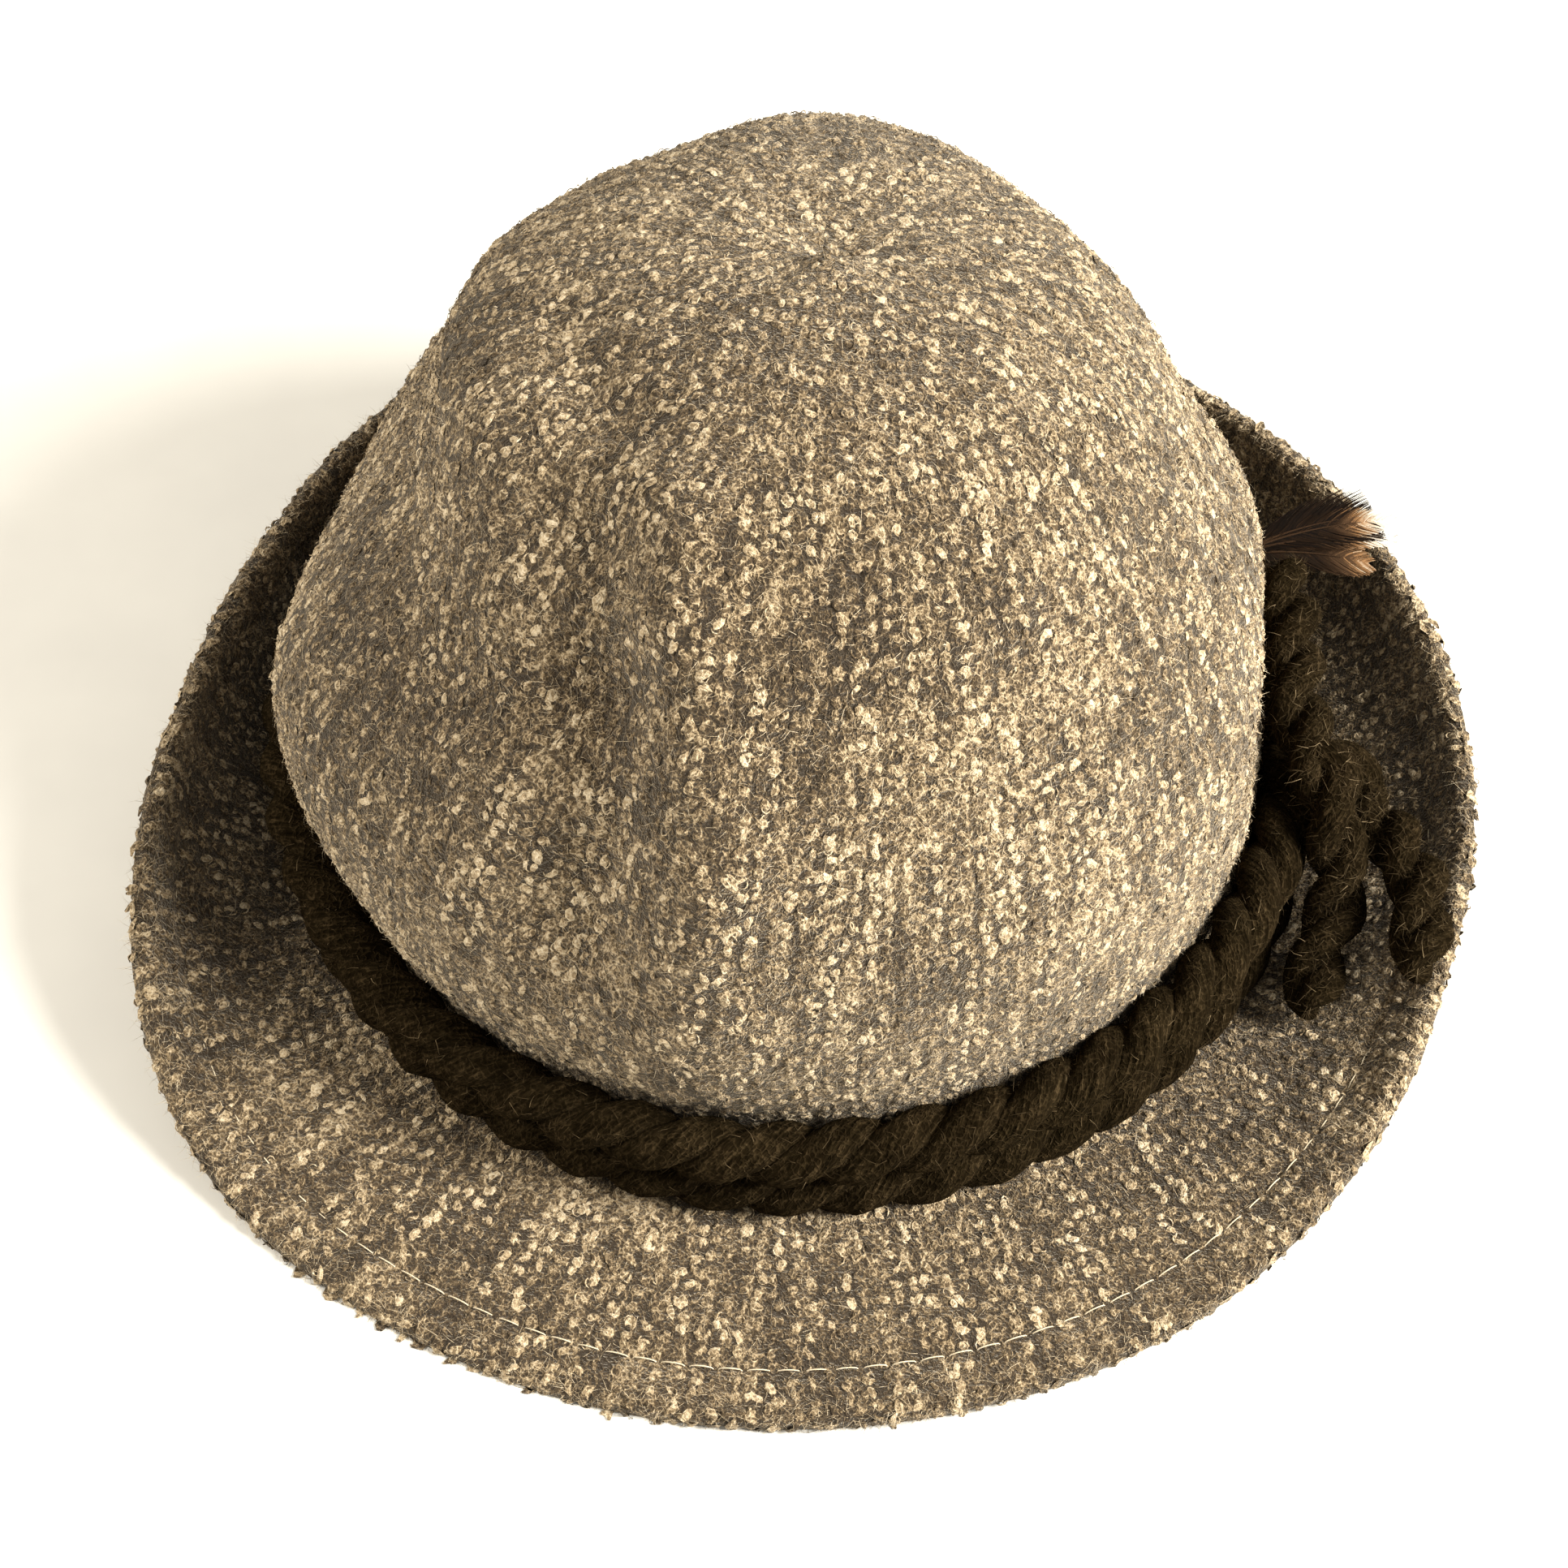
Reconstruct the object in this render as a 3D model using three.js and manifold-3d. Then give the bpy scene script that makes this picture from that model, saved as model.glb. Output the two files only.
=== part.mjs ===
// A Tyrolean hat of fulled wool knit in one grey tweed yarn. The crown is a soft dome, pinched into a
// ridge at the front, and the hemmed brim lies down in front and turns up at the sides and back.
// Two turns of thick two-ply wool cord run round the crown. At the wearer's left they are tied with
// a wrap, a stub laid back along the crown and two tails, and a small plume stands behind the stub.
// Millimetres, +Z up, on the surface the hat rests on. The front faces -Y, the wearer's left is +X.
import * as THREE from "three";
import Module from "manifold-3d";

const wasm = await Module();
wasm.setup();
const { Manifold, Mesh } = wasm;

// Head and crown: the band line is measured outside the wall.
const BAND_WIDTH = 188;
const BAND_LENGTH = 194;
const CROWN_HEIGHT = 141;
const CROWN_WALL = 2.8;

// Brim: a short collar under the cord, then the cloth out to the doubled hem.
const COLLAR_HEIGHT = 5;
const BRIM_WALL = 2.8;
const BRIM_FRONT = 50.5;
const BRIM_SIDE = 49;
const BRIM_BACK = 37;
const HEM_WIDTH = 12;
const HEM_WALL = 4.4;
const HEM_GROOVE = 0.8;
// How late the brim's slope changes on its way out: 1 is evenly, more is later.
const CURL = 1.3;
// How far the table presses the cloth flat where it rests.
const PRESS = 0.5;

// Cord: diameter over both plies, and the length of one full twist.
const CORD_DIAMETER = 12.4;
const CORD_TWIST = 28;
// Depth of the notch between the plies, as a share of the cord's radius.
const PLY_NOTCH = 0.24;

// Plume: length and width of its longest feather.
const PLUME_LENGTH = 33;
const PLUME_WIDTH = 11;
const PLUME_HEAD = 5.6;

// Air left between pieces that touch.
const GAP = 0.35;

// Fineness: points round the hat, rows of the crown outside and inside, steps of the brim's cloth
// line, and points round the cord.
const TURN_STEPS = 58;
const CROWN_OUTSIDE = 19;
const CROWN_INSIDE = 12;
const LINE_STEPS = 40;
const PLY_POINTS = 8;
const STEPS_A_TWIST = 5;
const DEGREE = Math.PI / 180;
const FULL_TURN = 360;

// Crown sections from the collar up: rise as a share of the crown's height, width and length as
// shares of the band's, back and left as shares of the band's length.
const CROWN_SECTIONS = [
  { rise: 0.0, width: 1.0, length: 1.0, back: 0.0, left: 0.0 },
  { rise: 0.1, width: 1.01, length: 1.01, back: 0.0, left: -0.005 },
  { rise: 0.24, width: 1.04, length: 1.045, back: 0.0, left: -0.018 },
  { rise: 0.4, width: 1.045, length: 1.045, back: 0.005, left: -0.017 },
  { rise: 0.56, width: 0.94, length: 0.97, back: 0.01, left: -0.005 },
  { rise: 0.71, width: 0.795, length: 0.85, back: 0.015, left: 0.006 },
  { rise: 0.84, width: 0.645, length: 0.71, back: 0.02, left: 0.014 },
  { rise: 0.93, width: 0.48, length: 0.53, back: 0.025, left: 0.02 },
  { rise: 0.985, width: 0.26, length: 0.3, back: 0.025, left: 0.024 },
  { rise: 1.0, width: 0.0, length: 0.0, back: 0.025, left: 0.025 },
];

// Soft folds of the crown: where (turn in degrees from the wearer's left towards the back, rise),
// how far they reach each way, and how far they push out (+) or in (-) as a share of the width.
const CROWN_FOLDS = [
  { turn: -99, rise: 0.3, wide: 12, tall: 0.14, push: 0.012 },
  { turn: -108, rise: 0.52, wide: 13, tall: 0.16, push: 0.026 },
  { turn: -102, rise: 0.76, wide: 16, tall: 0.12, push: 0.018 },
  { turn: -132, rise: 0.5, wide: 17, tall: 0.22, push: -0.034 },
  { turn: -74, rise: 0.52, wide: 18, tall: 0.2, push: -0.016 },
  { turn: -146, rise: 0.88, wide: 34, tall: 0.05, push: -0.022 },
  { turn: 176, rise: 0.7, wide: 42, tall: 0.2, push: -0.018 },
];

// Brim sections by turn: cloth width as a share of the brim's, and its slope in degrees at the
// collar and at the edge.
const BRIM_SECTIONS = [
  { turn: -90, width: 1.0, start: -6, end: -4 },
  { turn: -60, width: 1.0, start: -4, end: -2 },
  { turn: -42, width: 1.0, start: 0, end: 22 },
  { turn: -26, width: 1.0, start: 4, end: 50 },
  { turn: -8, width: 1.0, start: 8, end: 60 },
  { turn: 20, width: 1.0, start: 17, end: 86 },
  { turn: 50, width: 1.0, start: 24, end: 100 },
  { turn: 90, width: 1.0, start: 28, end: 98 },
  { turn: 130, width: 0.98, start: 24, end: 104 },
  { turn: 158, width: 0.88, start: 18, end: 108 },
  { turn: 174, width: 0.9, start: 13, end: 106 },
  { turn: 190, width: 0.98, start: 8, end: 90 },
  { turn: 206, width: 1.03, start: 4, end: 44 },
  { turn: 222, width: 1.07, start: -1, end: -2 },
  { turn: 242, width: 1.03, start: -5, end: -9 },
];

// Tails of the cord over the brim: turn in degrees, then the distance out from the band line and the
// lift over the brim, in cord diameters.
const TAIL_FRONT = [
  { turn: -21, out: 1.66, lift: 0.55 },
  { turn: -27, out: 1.72, lift: 0.18 },
  { turn: -33.5, out: 1.98, lift: 0.04 },
];
const TAIL_SIDE = [
  { turn: -9, out: 1.95, lift: 0.75 },
  { turn: -15, out: 2.45, lift: 0.5 },
  { turn: -22, out: 2.95, lift: 0.1 },
  { turn: -29, out: 3.3, lift: 0.04 },
];

// Strands on top of the turns, where the cord is tied: turn in degrees, then how far out and up from
// the place against the crown, in cord diameters. The first runs on as the front tail.
const STUB_ROUTE = [
  { turn: 14.5, out: 0.02, up: 0.04 },
  { turn: 4, out: 0.02, up: 0.04 },
  { turn: -7, out: 0.08, up: 0.06 },
  { turn: -15, out: 0.62, up: -0.1 },
];
const SECOND_ROUTE = [{ turn: -4, out: 0.55, up: -0.02 }];
const WRAP_ROUTE = [
  { turn: -13, out: 0.08, up: 0.16 },
  { turn: -12, out: 0.66, up: 0.06 },
  { turn: -11, out: 1.06, up: -0.5 },
  { turn: -11, out: 1.12, up: -1.05 },
];

// Feathers of the plume, fanned out of one head: angles in degrees, sizes as shares of the longest.
const PLUME_TURN = 20.5;
const PLUME_FEATHERS = [
  { spread: -17, raise: -3, length: 0.72, width: 0.7 },
  { spread: -3, raise: 3, length: 1.0, width: 1.0 },
  { spread: 14, raise: 0, length: 0.86, width: 0.8 },
];
// Half widths of a feather from root to tip, as shares of its widest.
const FEATHER_OUTLINE = [0.12, 0.5, 0.86, 1.0, 0.9, 0.6, 0.22];
const FEATHER_DROOP = 0.12;
const PLUME_ROLL = 38;
const PLUME_PITCH = 22;
const PLUME_YAW = -12;

const CORD_RADIUS = CORD_DIAMETER / 2;
const HALF_WIDTH = BAND_WIDTH / 2;
const HALF_LENGTH = BAND_LENGTH / 2;

// Degrees brought into one turn, from 0 up.
function wrapped(turn) {
  return ((turn % FULL_TURN) + FULL_TURN) % FULL_TURN;
}

// A row of a table at any turn, on smooth curves through its rows round the hat.
function rowAt(rows, turn) {
  const n = rows.length;
  const first = rows[0].turn;
  const t = first + wrapped(turn - first);
  const at = (k) => {
    const row = rows[((k % n) + n) % n];
    return { ...row, turn: row.turn + FULL_TURN * Math.floor(k / n) };
  };
  let i = 0;
  while (i + 1 < n && rows[i + 1].turn <= t) i += 1;
  const [p, a, b, q] = [at(i - 1), at(i), at(i + 1), at(i + 2)];
  const span = b.turn - a.turn;
  const f = (t - a.turn) / span;
  const mixed = {};
  for (const key of Object.keys(a)) {
    const ma = ((b[key] - p[key]) / (b.turn - p.turn)) * span;
    const mb = ((q[key] - a[key]) / (q.turn - a.turn)) * span;
    const d = b[key] - a[key];
    mixed[key] = a[key] + f * ma + f * f * (3 * d - 2 * ma - mb) + f * f * f * (ma + mb - 2 * d);
  }
  return mixed;
}

// One closed surface through rings of points. A ring of one point closes an end, and a loop joins
// the last ring to the first.
function loft(rings, loop) {
  const points = rings.flat();
  const starts = rings.map((_, i) => rings.slice(0, i).reduce((sum, ring) => sum + ring.length, 0));
  const faces = [];
  const last = loop ? rings.length : rings.length - 1;
  for (let i = 0; i < last; i += 1) {
    const j = (i + 1) % rings.length;
    const n = Math.max(rings[i].length, rings[j].length);
    const corner = (ring, k) => starts[ring] + (k % rings[ring].length);
    for (let k = 0; k < n; k += 1) {
      if (rings[i].length > 1) faces.push(corner(i, k), corner(i, k + 1), corner(j, k + 1));
      if (rings[j].length > 1) faces.push(corner(i, k), corner(j, k + 1), corner(j, k));
    }
  }
  const geometry = new THREE.BufferGeometry();
  const flat = points.flatMap((p) => p.toArray());
  geometry.setAttribute("position", new THREE.Float32BufferAttribute(flat, 3));
  geometry.setIndex(faces);
  return geometry;
}

function ringOf(steps, make) {
  return Array.from({ length: steps }, (_, i) => make((i / steps) * 2 * Math.PI));
}

// A point over the band line: out from the wall, up from the line.
function over(angle, out, up) {
  const x = (HALF_WIDTH + out) * Math.cos(angle);
  const y = (HALF_LENGTH + out) * Math.sin(angle);
  return new THREE.Vector3(x, y, bandRise(angle) + up);
}

// The brim's cloth line from the band line out: steps of { out, up, slope }.
function brimWidth(angle) {
  const s = Math.sin(angle);
  const end = s < 0 ? BRIM_FRONT : BRIM_BACK;
  return (BRIM_SIDE + (end - BRIM_SIDE) * s * s) * rowAt(BRIM_SECTIONS, angle / DEGREE).width;
}

function brimLine(angle) {
  const row = rowAt(BRIM_SECTIONS, angle / DEGREE);
  const step = brimWidth(angle) / LINE_STEPS;
  const line = [{ out: 0, up: 0, slope: row.start * DEGREE }];
  for (let i = 0; i < LINE_STEPS; i += 1) {
    const share = Math.pow((i + 0.5) / LINE_STEPS, CURL);
    const slope = (row.start + (row.end - row.start) * share) * DEGREE;
    const before = line[i];
    const out = before.out + Math.cos(slope) * step;
    line.push({ out, up: before.up + Math.sin(slope) * step, slope });
  }
  return line;
}

// Height of the band line: the brim's underside meets the table in front and at the back fold.
function undersideDepth(angle) {
  const ups = brimLine(angle).map((p, i) => {
    const wall = brimWidth(angle) * (1 - i / LINE_STEPS) < HEM_WIDTH ? HEM_WALL : BRIM_WALL;
    return p.up - Math.cos(p.slope) * wall;
  });
  return -Math.min(-BRIM_WALL, ...ups) - PRESS;
}
const RISE_FRONT = undersideDepth(-Math.PI / 2);
const RISE_BACK = undersideDepth(Math.PI / 2);
function bandRise(angle) {
  const back = (1 + Math.sin(angle)) / 2;
  return RISE_FRONT + (RISE_BACK - RISE_FRONT) * back;
}

function brimPoint(angle, distance, depth) {
  const line = brimLine(angle);
  const t = Math.min(1, Math.max(0, distance / brimWidth(angle))) * LINE_STEPS;
  const i = Math.min(LINE_STEPS - 1, Math.floor(t));
  const mix = (key) => line[i][key] + (line[i + 1][key] - line[i][key]) * (t - i);
  const slope = mix("slope");
  const point = over(angle, mix("out") + Math.sin(slope) * depth, mix("up") - Math.cos(slope) * depth);
  point.z = Math.max(0, point.z);
  return point;
}

function brimGeometry() {
  const collar = (inset, up) => ringOf(TURN_STEPS, (a) => over(a, -inset, up));
  const edge = (share, back, depth) =>
    ringOf(TURN_STEPS, (a) => {
      const cloth = brimWidth(a) - HEM_WIDTH;
      return brimPoint(a, share * cloth + (share >= 1 ? HEM_WIDTH - back : 0), depth);
    });
  const lip = HEM_WALL * 0.3;
  const groove = HEM_WALL * 0.4;
  const rings = [collar(CROWN_WALL, COLLAR_HEIGHT), collar(0, COLLAR_HEIGHT), collar(0, 0)];
  for (const share of [0.12, 0.28, 0.46, 0.66, 0.86]) rings.push(edge(share, 0, 0));
  rings.push(edge(1, HEM_WIDTH, HEM_GROOVE));
  rings.push(edge(1, HEM_WIDTH - groove, 0), edge(1, HEM_WIDTH / 2, 0), edge(1, lip, 0));
  rings.push(edge(1, 0, HEM_WALL / 2));
  for (const back of [lip, HEM_WIDTH / 2, HEM_WIDTH - lip]) rings.push(edge(1, back, HEM_WALL));
  for (const share of [0.97, 0.7, 0.4, 0.15]) rings.push(edge(share, 0, BRIM_WALL));
  rings.push(collar(0, -BRIM_WALL).map(onTable), collar(CROWN_WALL, -BRIM_WALL).map(onTable));
  return loft(rings.reverse(), true);
}

function onTable(point) {
  point.z = Math.max(0, point.z);
  return point;
}

// Crown: a curve through the sections, with the folds laid along its normal.
const keys = (a, b) => CROWN_SECTIONS.map((s) => new THREE.Vector3(s.rise, s[a], s[b]));
const sizeCurve = new THREE.CatmullRomCurve3(keys("width", "length"), false, "centripetal");
const shiftCurve = new THREE.CatmullRomCurve3(keys("left", "back"), false, "centripetal");
const DOME_HEIGHT = CROWN_HEIGHT - COLLAR_HEIGHT - GAP;

function foldPush(turn, rise) {
  let push = 0;
  for (const fold of CROWN_FOLDS) {
    const away = wrapped(turn - fold.turn + FULL_TURN / 2) - FULL_TURN / 2;
    const near = (away / fold.wide) ** 2 + ((rise - fold.rise) / fold.tall) ** 2;
    push += fold.push * Math.exp(-near);
  }
  return push * BAND_WIDTH;
}

function crownPoint(share, angle, inset) {
  const size = sizeCurve.getPoint(share);
  const shift = shiftCurve.getPoint(share);
  const low = sizeCurve.getPoint(Math.max(0, share - 0.01));
  const high = sizeCurve.getPoint(Math.min(1, share + 0.01));
  const outward = (high.x - low.x) * DOME_HEIGHT;
  const upward = (low.y - high.y) * HALF_WIDTH;
  const length = Math.hypot(outward, upward);
  const offset = foldPush(angle / DEGREE, size.x) - inset;
  const out = share < 1 ? (offset * outward) / length : 0;
  const up = share < 1 ? (offset * upward) / length : offset;
  const x = (size.y * HALF_WIDTH + out) * Math.cos(angle) + shift.y * BAND_LENGTH;
  const y = (size.z * HALF_LENGTH + out) * Math.sin(angle) + shift.z * BAND_LENGTH;
  return new THREE.Vector3(x, y, bandRise(angle) + COLLAR_HEIGHT + GAP + size.x * DOME_HEIGHT + up);
}

function crownGeometry() {
  const ring = (share, inset) => ringOf(TURN_STEPS, (a) => crownPoint(share, a, inset));
  const rings = [];
  for (let i = 0; i < CROWN_OUTSIDE; i += 1) rings.push(ring(i / CROWN_OUTSIDE, 0));
  rings.push([crownPoint(1, 0, 0)], [crownPoint(1, 0, CROWN_WALL)]);
  for (let i = CROWN_INSIDE - 1; i >= 0; i -= 1) rings.push(ring(i / CROWN_INSIDE, CROWN_WALL));
  return loft(rings, true);
}

// Places for the cord: distance from a point to the wall and to the brim, seen in one upright cut.
function wallLine(angle) {
  const line = [{ out: 0, up: 0 }, { out: 0, up: COLLAR_HEIGHT }];
  const band = over(angle, 0, 0);
  for (let i = 0; i <= 24; i += 1) {
    const p = crownPoint((i / 24) * 0.6, angle, 0);
    line.push({ out: Math.hypot(p.x, p.y) - Math.hypot(band.x, band.y), up: p.z - band.z });
  }
  return line;
}

function distanceTo(line, out, up) {
  let best = Infinity;
  for (let i = 0; i + 1 < line.length; i += 1) {
    const a = line[i];
    const du = line[i + 1].out - a.out;
    const dv = line[i + 1].up - a.up;
    const along = ((out - a.out) * du + (up - a.up) * dv) / (du * du + dv * dv || 1);
    const share = Math.min(1, Math.max(0, along));
    best = Math.min(best, Math.hypot(out - a.out - share * du, up - a.up - share * dv));
  }
  return best;
}

// The value between low and high where clear() first holds.
function settle(low, high, clear) {
  let a = low;
  let b = high;
  for (let i = 0; i < 24; i += 1) {
    const mid = (a + b) / 2;
    if (clear(mid)) b = mid;
    else a = mid;
  }
  return b;
}

const REACH = CORD_RADIUS + GAP;
function besideWall(wall, up) {
  return settle(0, HALF_WIDTH, (out) => out > 0 && distanceTo(wall, out, up) >= REACH);
}

function turnsAt(angle) {
  const wall = wallLine(angle);
  const brim = brimLine(angle);
  const clearOfBrim = (up) => distanceTo(brim, besideWall(wall, up), up) >= REACH;
  const lowUp = settle(0, HALF_WIDTH, clearOfBrim);
  const low = { out: besideWall(wall, lowUp), up: lowUp };
  const onTop = (under) => {
    const up = settle(under.up, under.up + 2 * CORD_DIAMETER, (v) => {
      const away = Math.hypot(besideWall(wall, v) - under.out, v - under.up);
      return away >= CORD_DIAMETER + GAP;
    });
    return { out: besideWall(wall, up), up };
  };
  const high = onTop(low);
  return { low, high, stub: onTop(high) };
}

// Section of the two-ply cord: two soft strands side by side, turned by twist.
function plySection(radius, twist, place) {
  return ringOf(PLY_POINTS, (a) => {
    const r = radius * (1 - PLY_NOTCH + PLY_NOTCH * Math.abs(Math.cos(a)) ** 0.8);
    return place(r * Math.cos(a + twist), r * Math.sin(a + twist));
  });
}

function cordRing(which) {
  const around = Math.PI * (HALF_WIDTH + HALF_LENGTH + 2 * CORD_DIAMETER);
  const twists = Math.round(around / CORD_TWIST);
  const steps = twists * STEPS_A_TWIST;
  const rings = [];
  for (let i = 0; i < steps; i += 1) {
    const angle = (i / steps) * 2 * Math.PI;
    const centre = turnsAt(angle)[which];
    const place = (u, v) => over(angle, centre.out + u, centre.up + v);
    rings.push(plySection(CORD_RADIUS, angle * twists, place));
  }
  return loft(rings.reverse(), true);
}

// A free length of the cord along points, with rounded ends.
const FRAME_STEPS = 200;
function cordAlong(points, radius) {
  const curve = new THREE.CatmullRomCurve3(points, false, "centripetal");
  const length = curve.getLength();
  const body = Math.max(4, Math.round(((length - 2 * radius) / CORD_TWIST) * STEPS_A_TWIST));
  const stops = [0.12 * radius, 0.5 * radius];
  for (let i = 0; i <= body; i += 1) stops.push(radius + ((length - 2 * radius) * i) / body);
  stops.push(length - 0.5 * radius, length - 0.12 * radius);
  const frames = curve.computeFrenetFrames(FRAME_STEPS, false);
  const rings = stops.map((s) => {
    const end = Math.min(s, length - s, radius) / radius;
    const r = radius * Math.sqrt(Math.max(0, 1 - (1 - end) ** 2));
    const k = Math.round((s / length) * FRAME_STEPS);
    const centre = curve.getPointAt(s / length);
    const across = (u) => frames.normals[k].clone().multiplyScalar(u);
    const place = (u, v) => across(u).addScaledVector(frames.binormals[k], v).add(centre);
    return plySection(r, (s / CORD_TWIST) * 2 * Math.PI, place);
  });
  return loft([[curve.getPointAt(0)], ...rings, [curve.getPointAt(1)]], false);
}

// Solids for joining.
function solid(geometry) {
  return new Manifold(
    new Mesh({
      numProp: 3,
      vertProperties: geometry.attributes.position.array,
      triVerts: new Uint32Array(geometry.index.array),
    }),
  );
}

function joined(geometries) {
  // Strands that touch all round enclose small pockets, which are filled.
  const shells = Manifold.union(geometries.map(solid)).decompose();
  const mesh = Manifold.union(shells.filter((shell) => shell.volume() > 0)).getMesh();
  const geometry = new THREE.BufferGeometry();
  const flat = new Float32Array(mesh.numVert * 3);
  for (let i = 0; i < mesh.numVert; i += 1) {
    for (let k = 0; k < 3; k += 1) flat[3 * i + k] = mesh.vertProperties[mesh.numProp * i + k];
  }
  geometry.setAttribute("position", new THREE.Float32BufferAttribute(flat, 3));
  geometry.setIndex([...mesh.triVerts]);
  return geometry;
}

function onBrim(row) {
  const angle = row.turn * DEGREE;
  const brim = brimLine(angle);
  const out = row.out * CORD_DIAMETER;
  const up = settle(0, HALF_WIDTH, (v) => v > 0 && distanceTo(brim, out, v) >= REACH);
  return over(angle, out, up + row.lift * CORD_DIAMETER);
}

function onTurns(row) {
  const angle = row.turn * DEGREE;
  const { stub } = turnsAt(angle);
  return over(angle, stub.out + row.out * CORD_DIAMETER, stub.up + row.up * CORD_DIAMETER);
}

function tieGeometry() {
  const front = [...STUB_ROUTE.map(onTurns), ...TAIL_FRONT.map(onBrim)];
  const side = [...SECOND_ROUTE.map(onTurns), ...TAIL_SIDE.map(onBrim)];
  return joined([front, side, WRAP_ROUTE.map(onTurns)].map((route) => cordAlong(route, CORD_RADIUS)));
}

// A feather is a thin leaf along +X that droops towards its tip.
function featherGeometry(feather) {
  const length = PLUME_LENGTH * feather.length;
  const half = (PLUME_WIDTH * feather.width) / 2;
  const thick = PLUME_HEAD * 0.14;
  const spine = (t) => new THREE.Vector3(t * length, 0, -FEATHER_DROOP * length * t * t);
  const rings = FEATHER_OUTLINE.map((share, i) => {
    const centre = spine(i / (FEATHER_OUTLINE.length - 1));
    const edge = (a) => new THREE.Vector3(0, Math.cos(a) * half * share, Math.sin(a) * thick);
    return ringOf(6, (a) => edge(a).add(centre));
  });
  const geometry = loft([[spine(-0.03)], ...rings, [spine(1.03)]], false);
  geometry.rotateZ(feather.spread * DEGREE);
  geometry.rotateX(feather.raise * DEGREE);
  return geometry;
}

function headGeometry() {
  const radius = PLUME_HEAD / 2;
  const end = (side) => [new THREE.Vector3(side * radius * 1.2, 0, 0)];
  const rings = [-0.8, -0.3, 0.3, 0.8].map((t) =>
    ringOf(8, (a) => {
      const r = radius * Math.sqrt(1 - t * t);
      return new THREE.Vector3(t * radius * 1.2, r * Math.cos(a), r * Math.sin(a));
    }),
  );
  return loft([end(-1), ...rings, end(1)], false);
}

function plumeGeometry() {
  const geometry = joined([...PLUME_FEATHERS.map(featherGeometry), headGeometry()]);
  geometry.rotateX(PLUME_ROLL * DEGREE);
  geometry.rotateY(-PLUME_PITCH * DEGREE);
  geometry.rotateZ(PLUME_YAW * DEGREE);
  const { high } = turnsAt(PLUME_TURN * DEGREE);
  const wall = wallLine(PLUME_TURN * DEGREE);
  const reach = PLUME_HEAD / 2 + GAP;
  const up = high.up + CORD_RADIUS + reach;
  const out = settle(0, HALF_WIDTH, (v) => v > 0 && distanceTo(wall, v, up) >= reach);
  const root = over(PLUME_TURN * DEGREE, out, up);
  geometry.translate(root.x, root.y, root.z);
  return geometry;
}

const hat = new THREE.Group();
function add(name, geometry, color, roughness) {
  const material = new THREE.MeshStandardMaterial({ color, roughness, metalness: 0 });
  const mesh = new THREE.Mesh(geometry, material);
  mesh.name = name;
  hat.add(mesh);
}
add("crown", crownGeometry(), 0x8c7c62, 0.95);
add("brim", brimGeometry(), 0x86765e, 0.95);
add("cord_lower", cordRing("low"), 0x2f2718, 0.95);
add("cord_upper", cordRing("high"), 0x2f2718, 0.95);
add("cord_tie", tieGeometry(), 0x2f2718, 0.95);
add("plume", plumeGeometry(), 0x4a3826, 0.8);

// The origin is under the middle of the hat's outline.
const middle = new THREE.Box3().setFromObject(hat, true).getCenter(new THREE.Vector3());
for (const mesh of hat.children) mesh.position.set(-middle.x, -middle.y, 0);

export default hat;
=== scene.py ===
# Looks of a knitted Tyrolean hat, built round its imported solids. Metres, +Z up, the front faces -Y.
# Turns are in degrees from the wearer's left (+X) towards the back (+Y).
import itertools
import math

import bpy
import numpy as np
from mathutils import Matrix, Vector


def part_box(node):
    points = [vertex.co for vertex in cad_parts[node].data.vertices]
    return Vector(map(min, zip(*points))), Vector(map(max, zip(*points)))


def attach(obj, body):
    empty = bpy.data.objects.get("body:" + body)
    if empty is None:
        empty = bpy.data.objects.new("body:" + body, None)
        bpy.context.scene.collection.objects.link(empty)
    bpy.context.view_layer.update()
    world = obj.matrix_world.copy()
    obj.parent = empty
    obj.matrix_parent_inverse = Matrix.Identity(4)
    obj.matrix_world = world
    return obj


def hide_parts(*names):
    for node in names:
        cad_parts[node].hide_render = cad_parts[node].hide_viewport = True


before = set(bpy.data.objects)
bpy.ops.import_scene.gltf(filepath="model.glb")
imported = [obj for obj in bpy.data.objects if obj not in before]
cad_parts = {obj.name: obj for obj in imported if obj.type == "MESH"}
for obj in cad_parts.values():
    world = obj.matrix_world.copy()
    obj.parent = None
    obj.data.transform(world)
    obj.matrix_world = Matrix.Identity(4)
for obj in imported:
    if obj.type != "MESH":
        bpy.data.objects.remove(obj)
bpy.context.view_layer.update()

MM = 0.001
TURN = 2 * math.pi

# Head and crown.
BAND_WIDTH = 188 * MM
BAND_LENGTH = 194 * MM
CROWN_HEIGHT = 141 * MM
WALL = 2.8 * MM
COLLAR_HEIGHT = 5 * MM
GAP = 0.35 * MM

# Brim.
BRIM_FRONT = 50.5 * MM
BRIM_SIDE = 49 * MM
BRIM_BACK = 37 * MM
HEM_WIDTH = 12 * MM
HEM_WALL = 4.4 * MM
HEM_GROOVE = 0.8 * MM
CURL = 1.3
PRESS = 0.5 * MM

# Cord: its width over both plies, then a ply's radius and the length of a full twist, each round the
# crown and in the tails.
CORD_DIAMETER = 12.4 * MM
BAND_PLY = 3.95 * MM
TAIL_PLY = 3.45 * MM
CORD_TWIST = 28 * MM
TAIL_TWIST = 27 * MM

# Knit: wales run down from the crown's tip and out to the brim's edge. Where they would be tighter
# than a share of their width, only a share of them goes on, down to the fewest at the tip.
WALE = 3.2 * MM
COURSE = 2.7 * MM
TIGHTEST_WALE = 0.74
WALES_LEFT = 0.7
FEWEST_WALES = 12

# Hem stitching.
STITCH_LINE = 10.3 * MM
STITCH_PITCH = 5.3 * MM
STITCH_LENGTH = 4.3 * MM
STITCH_RADIUS = 0.13 * MM

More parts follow.
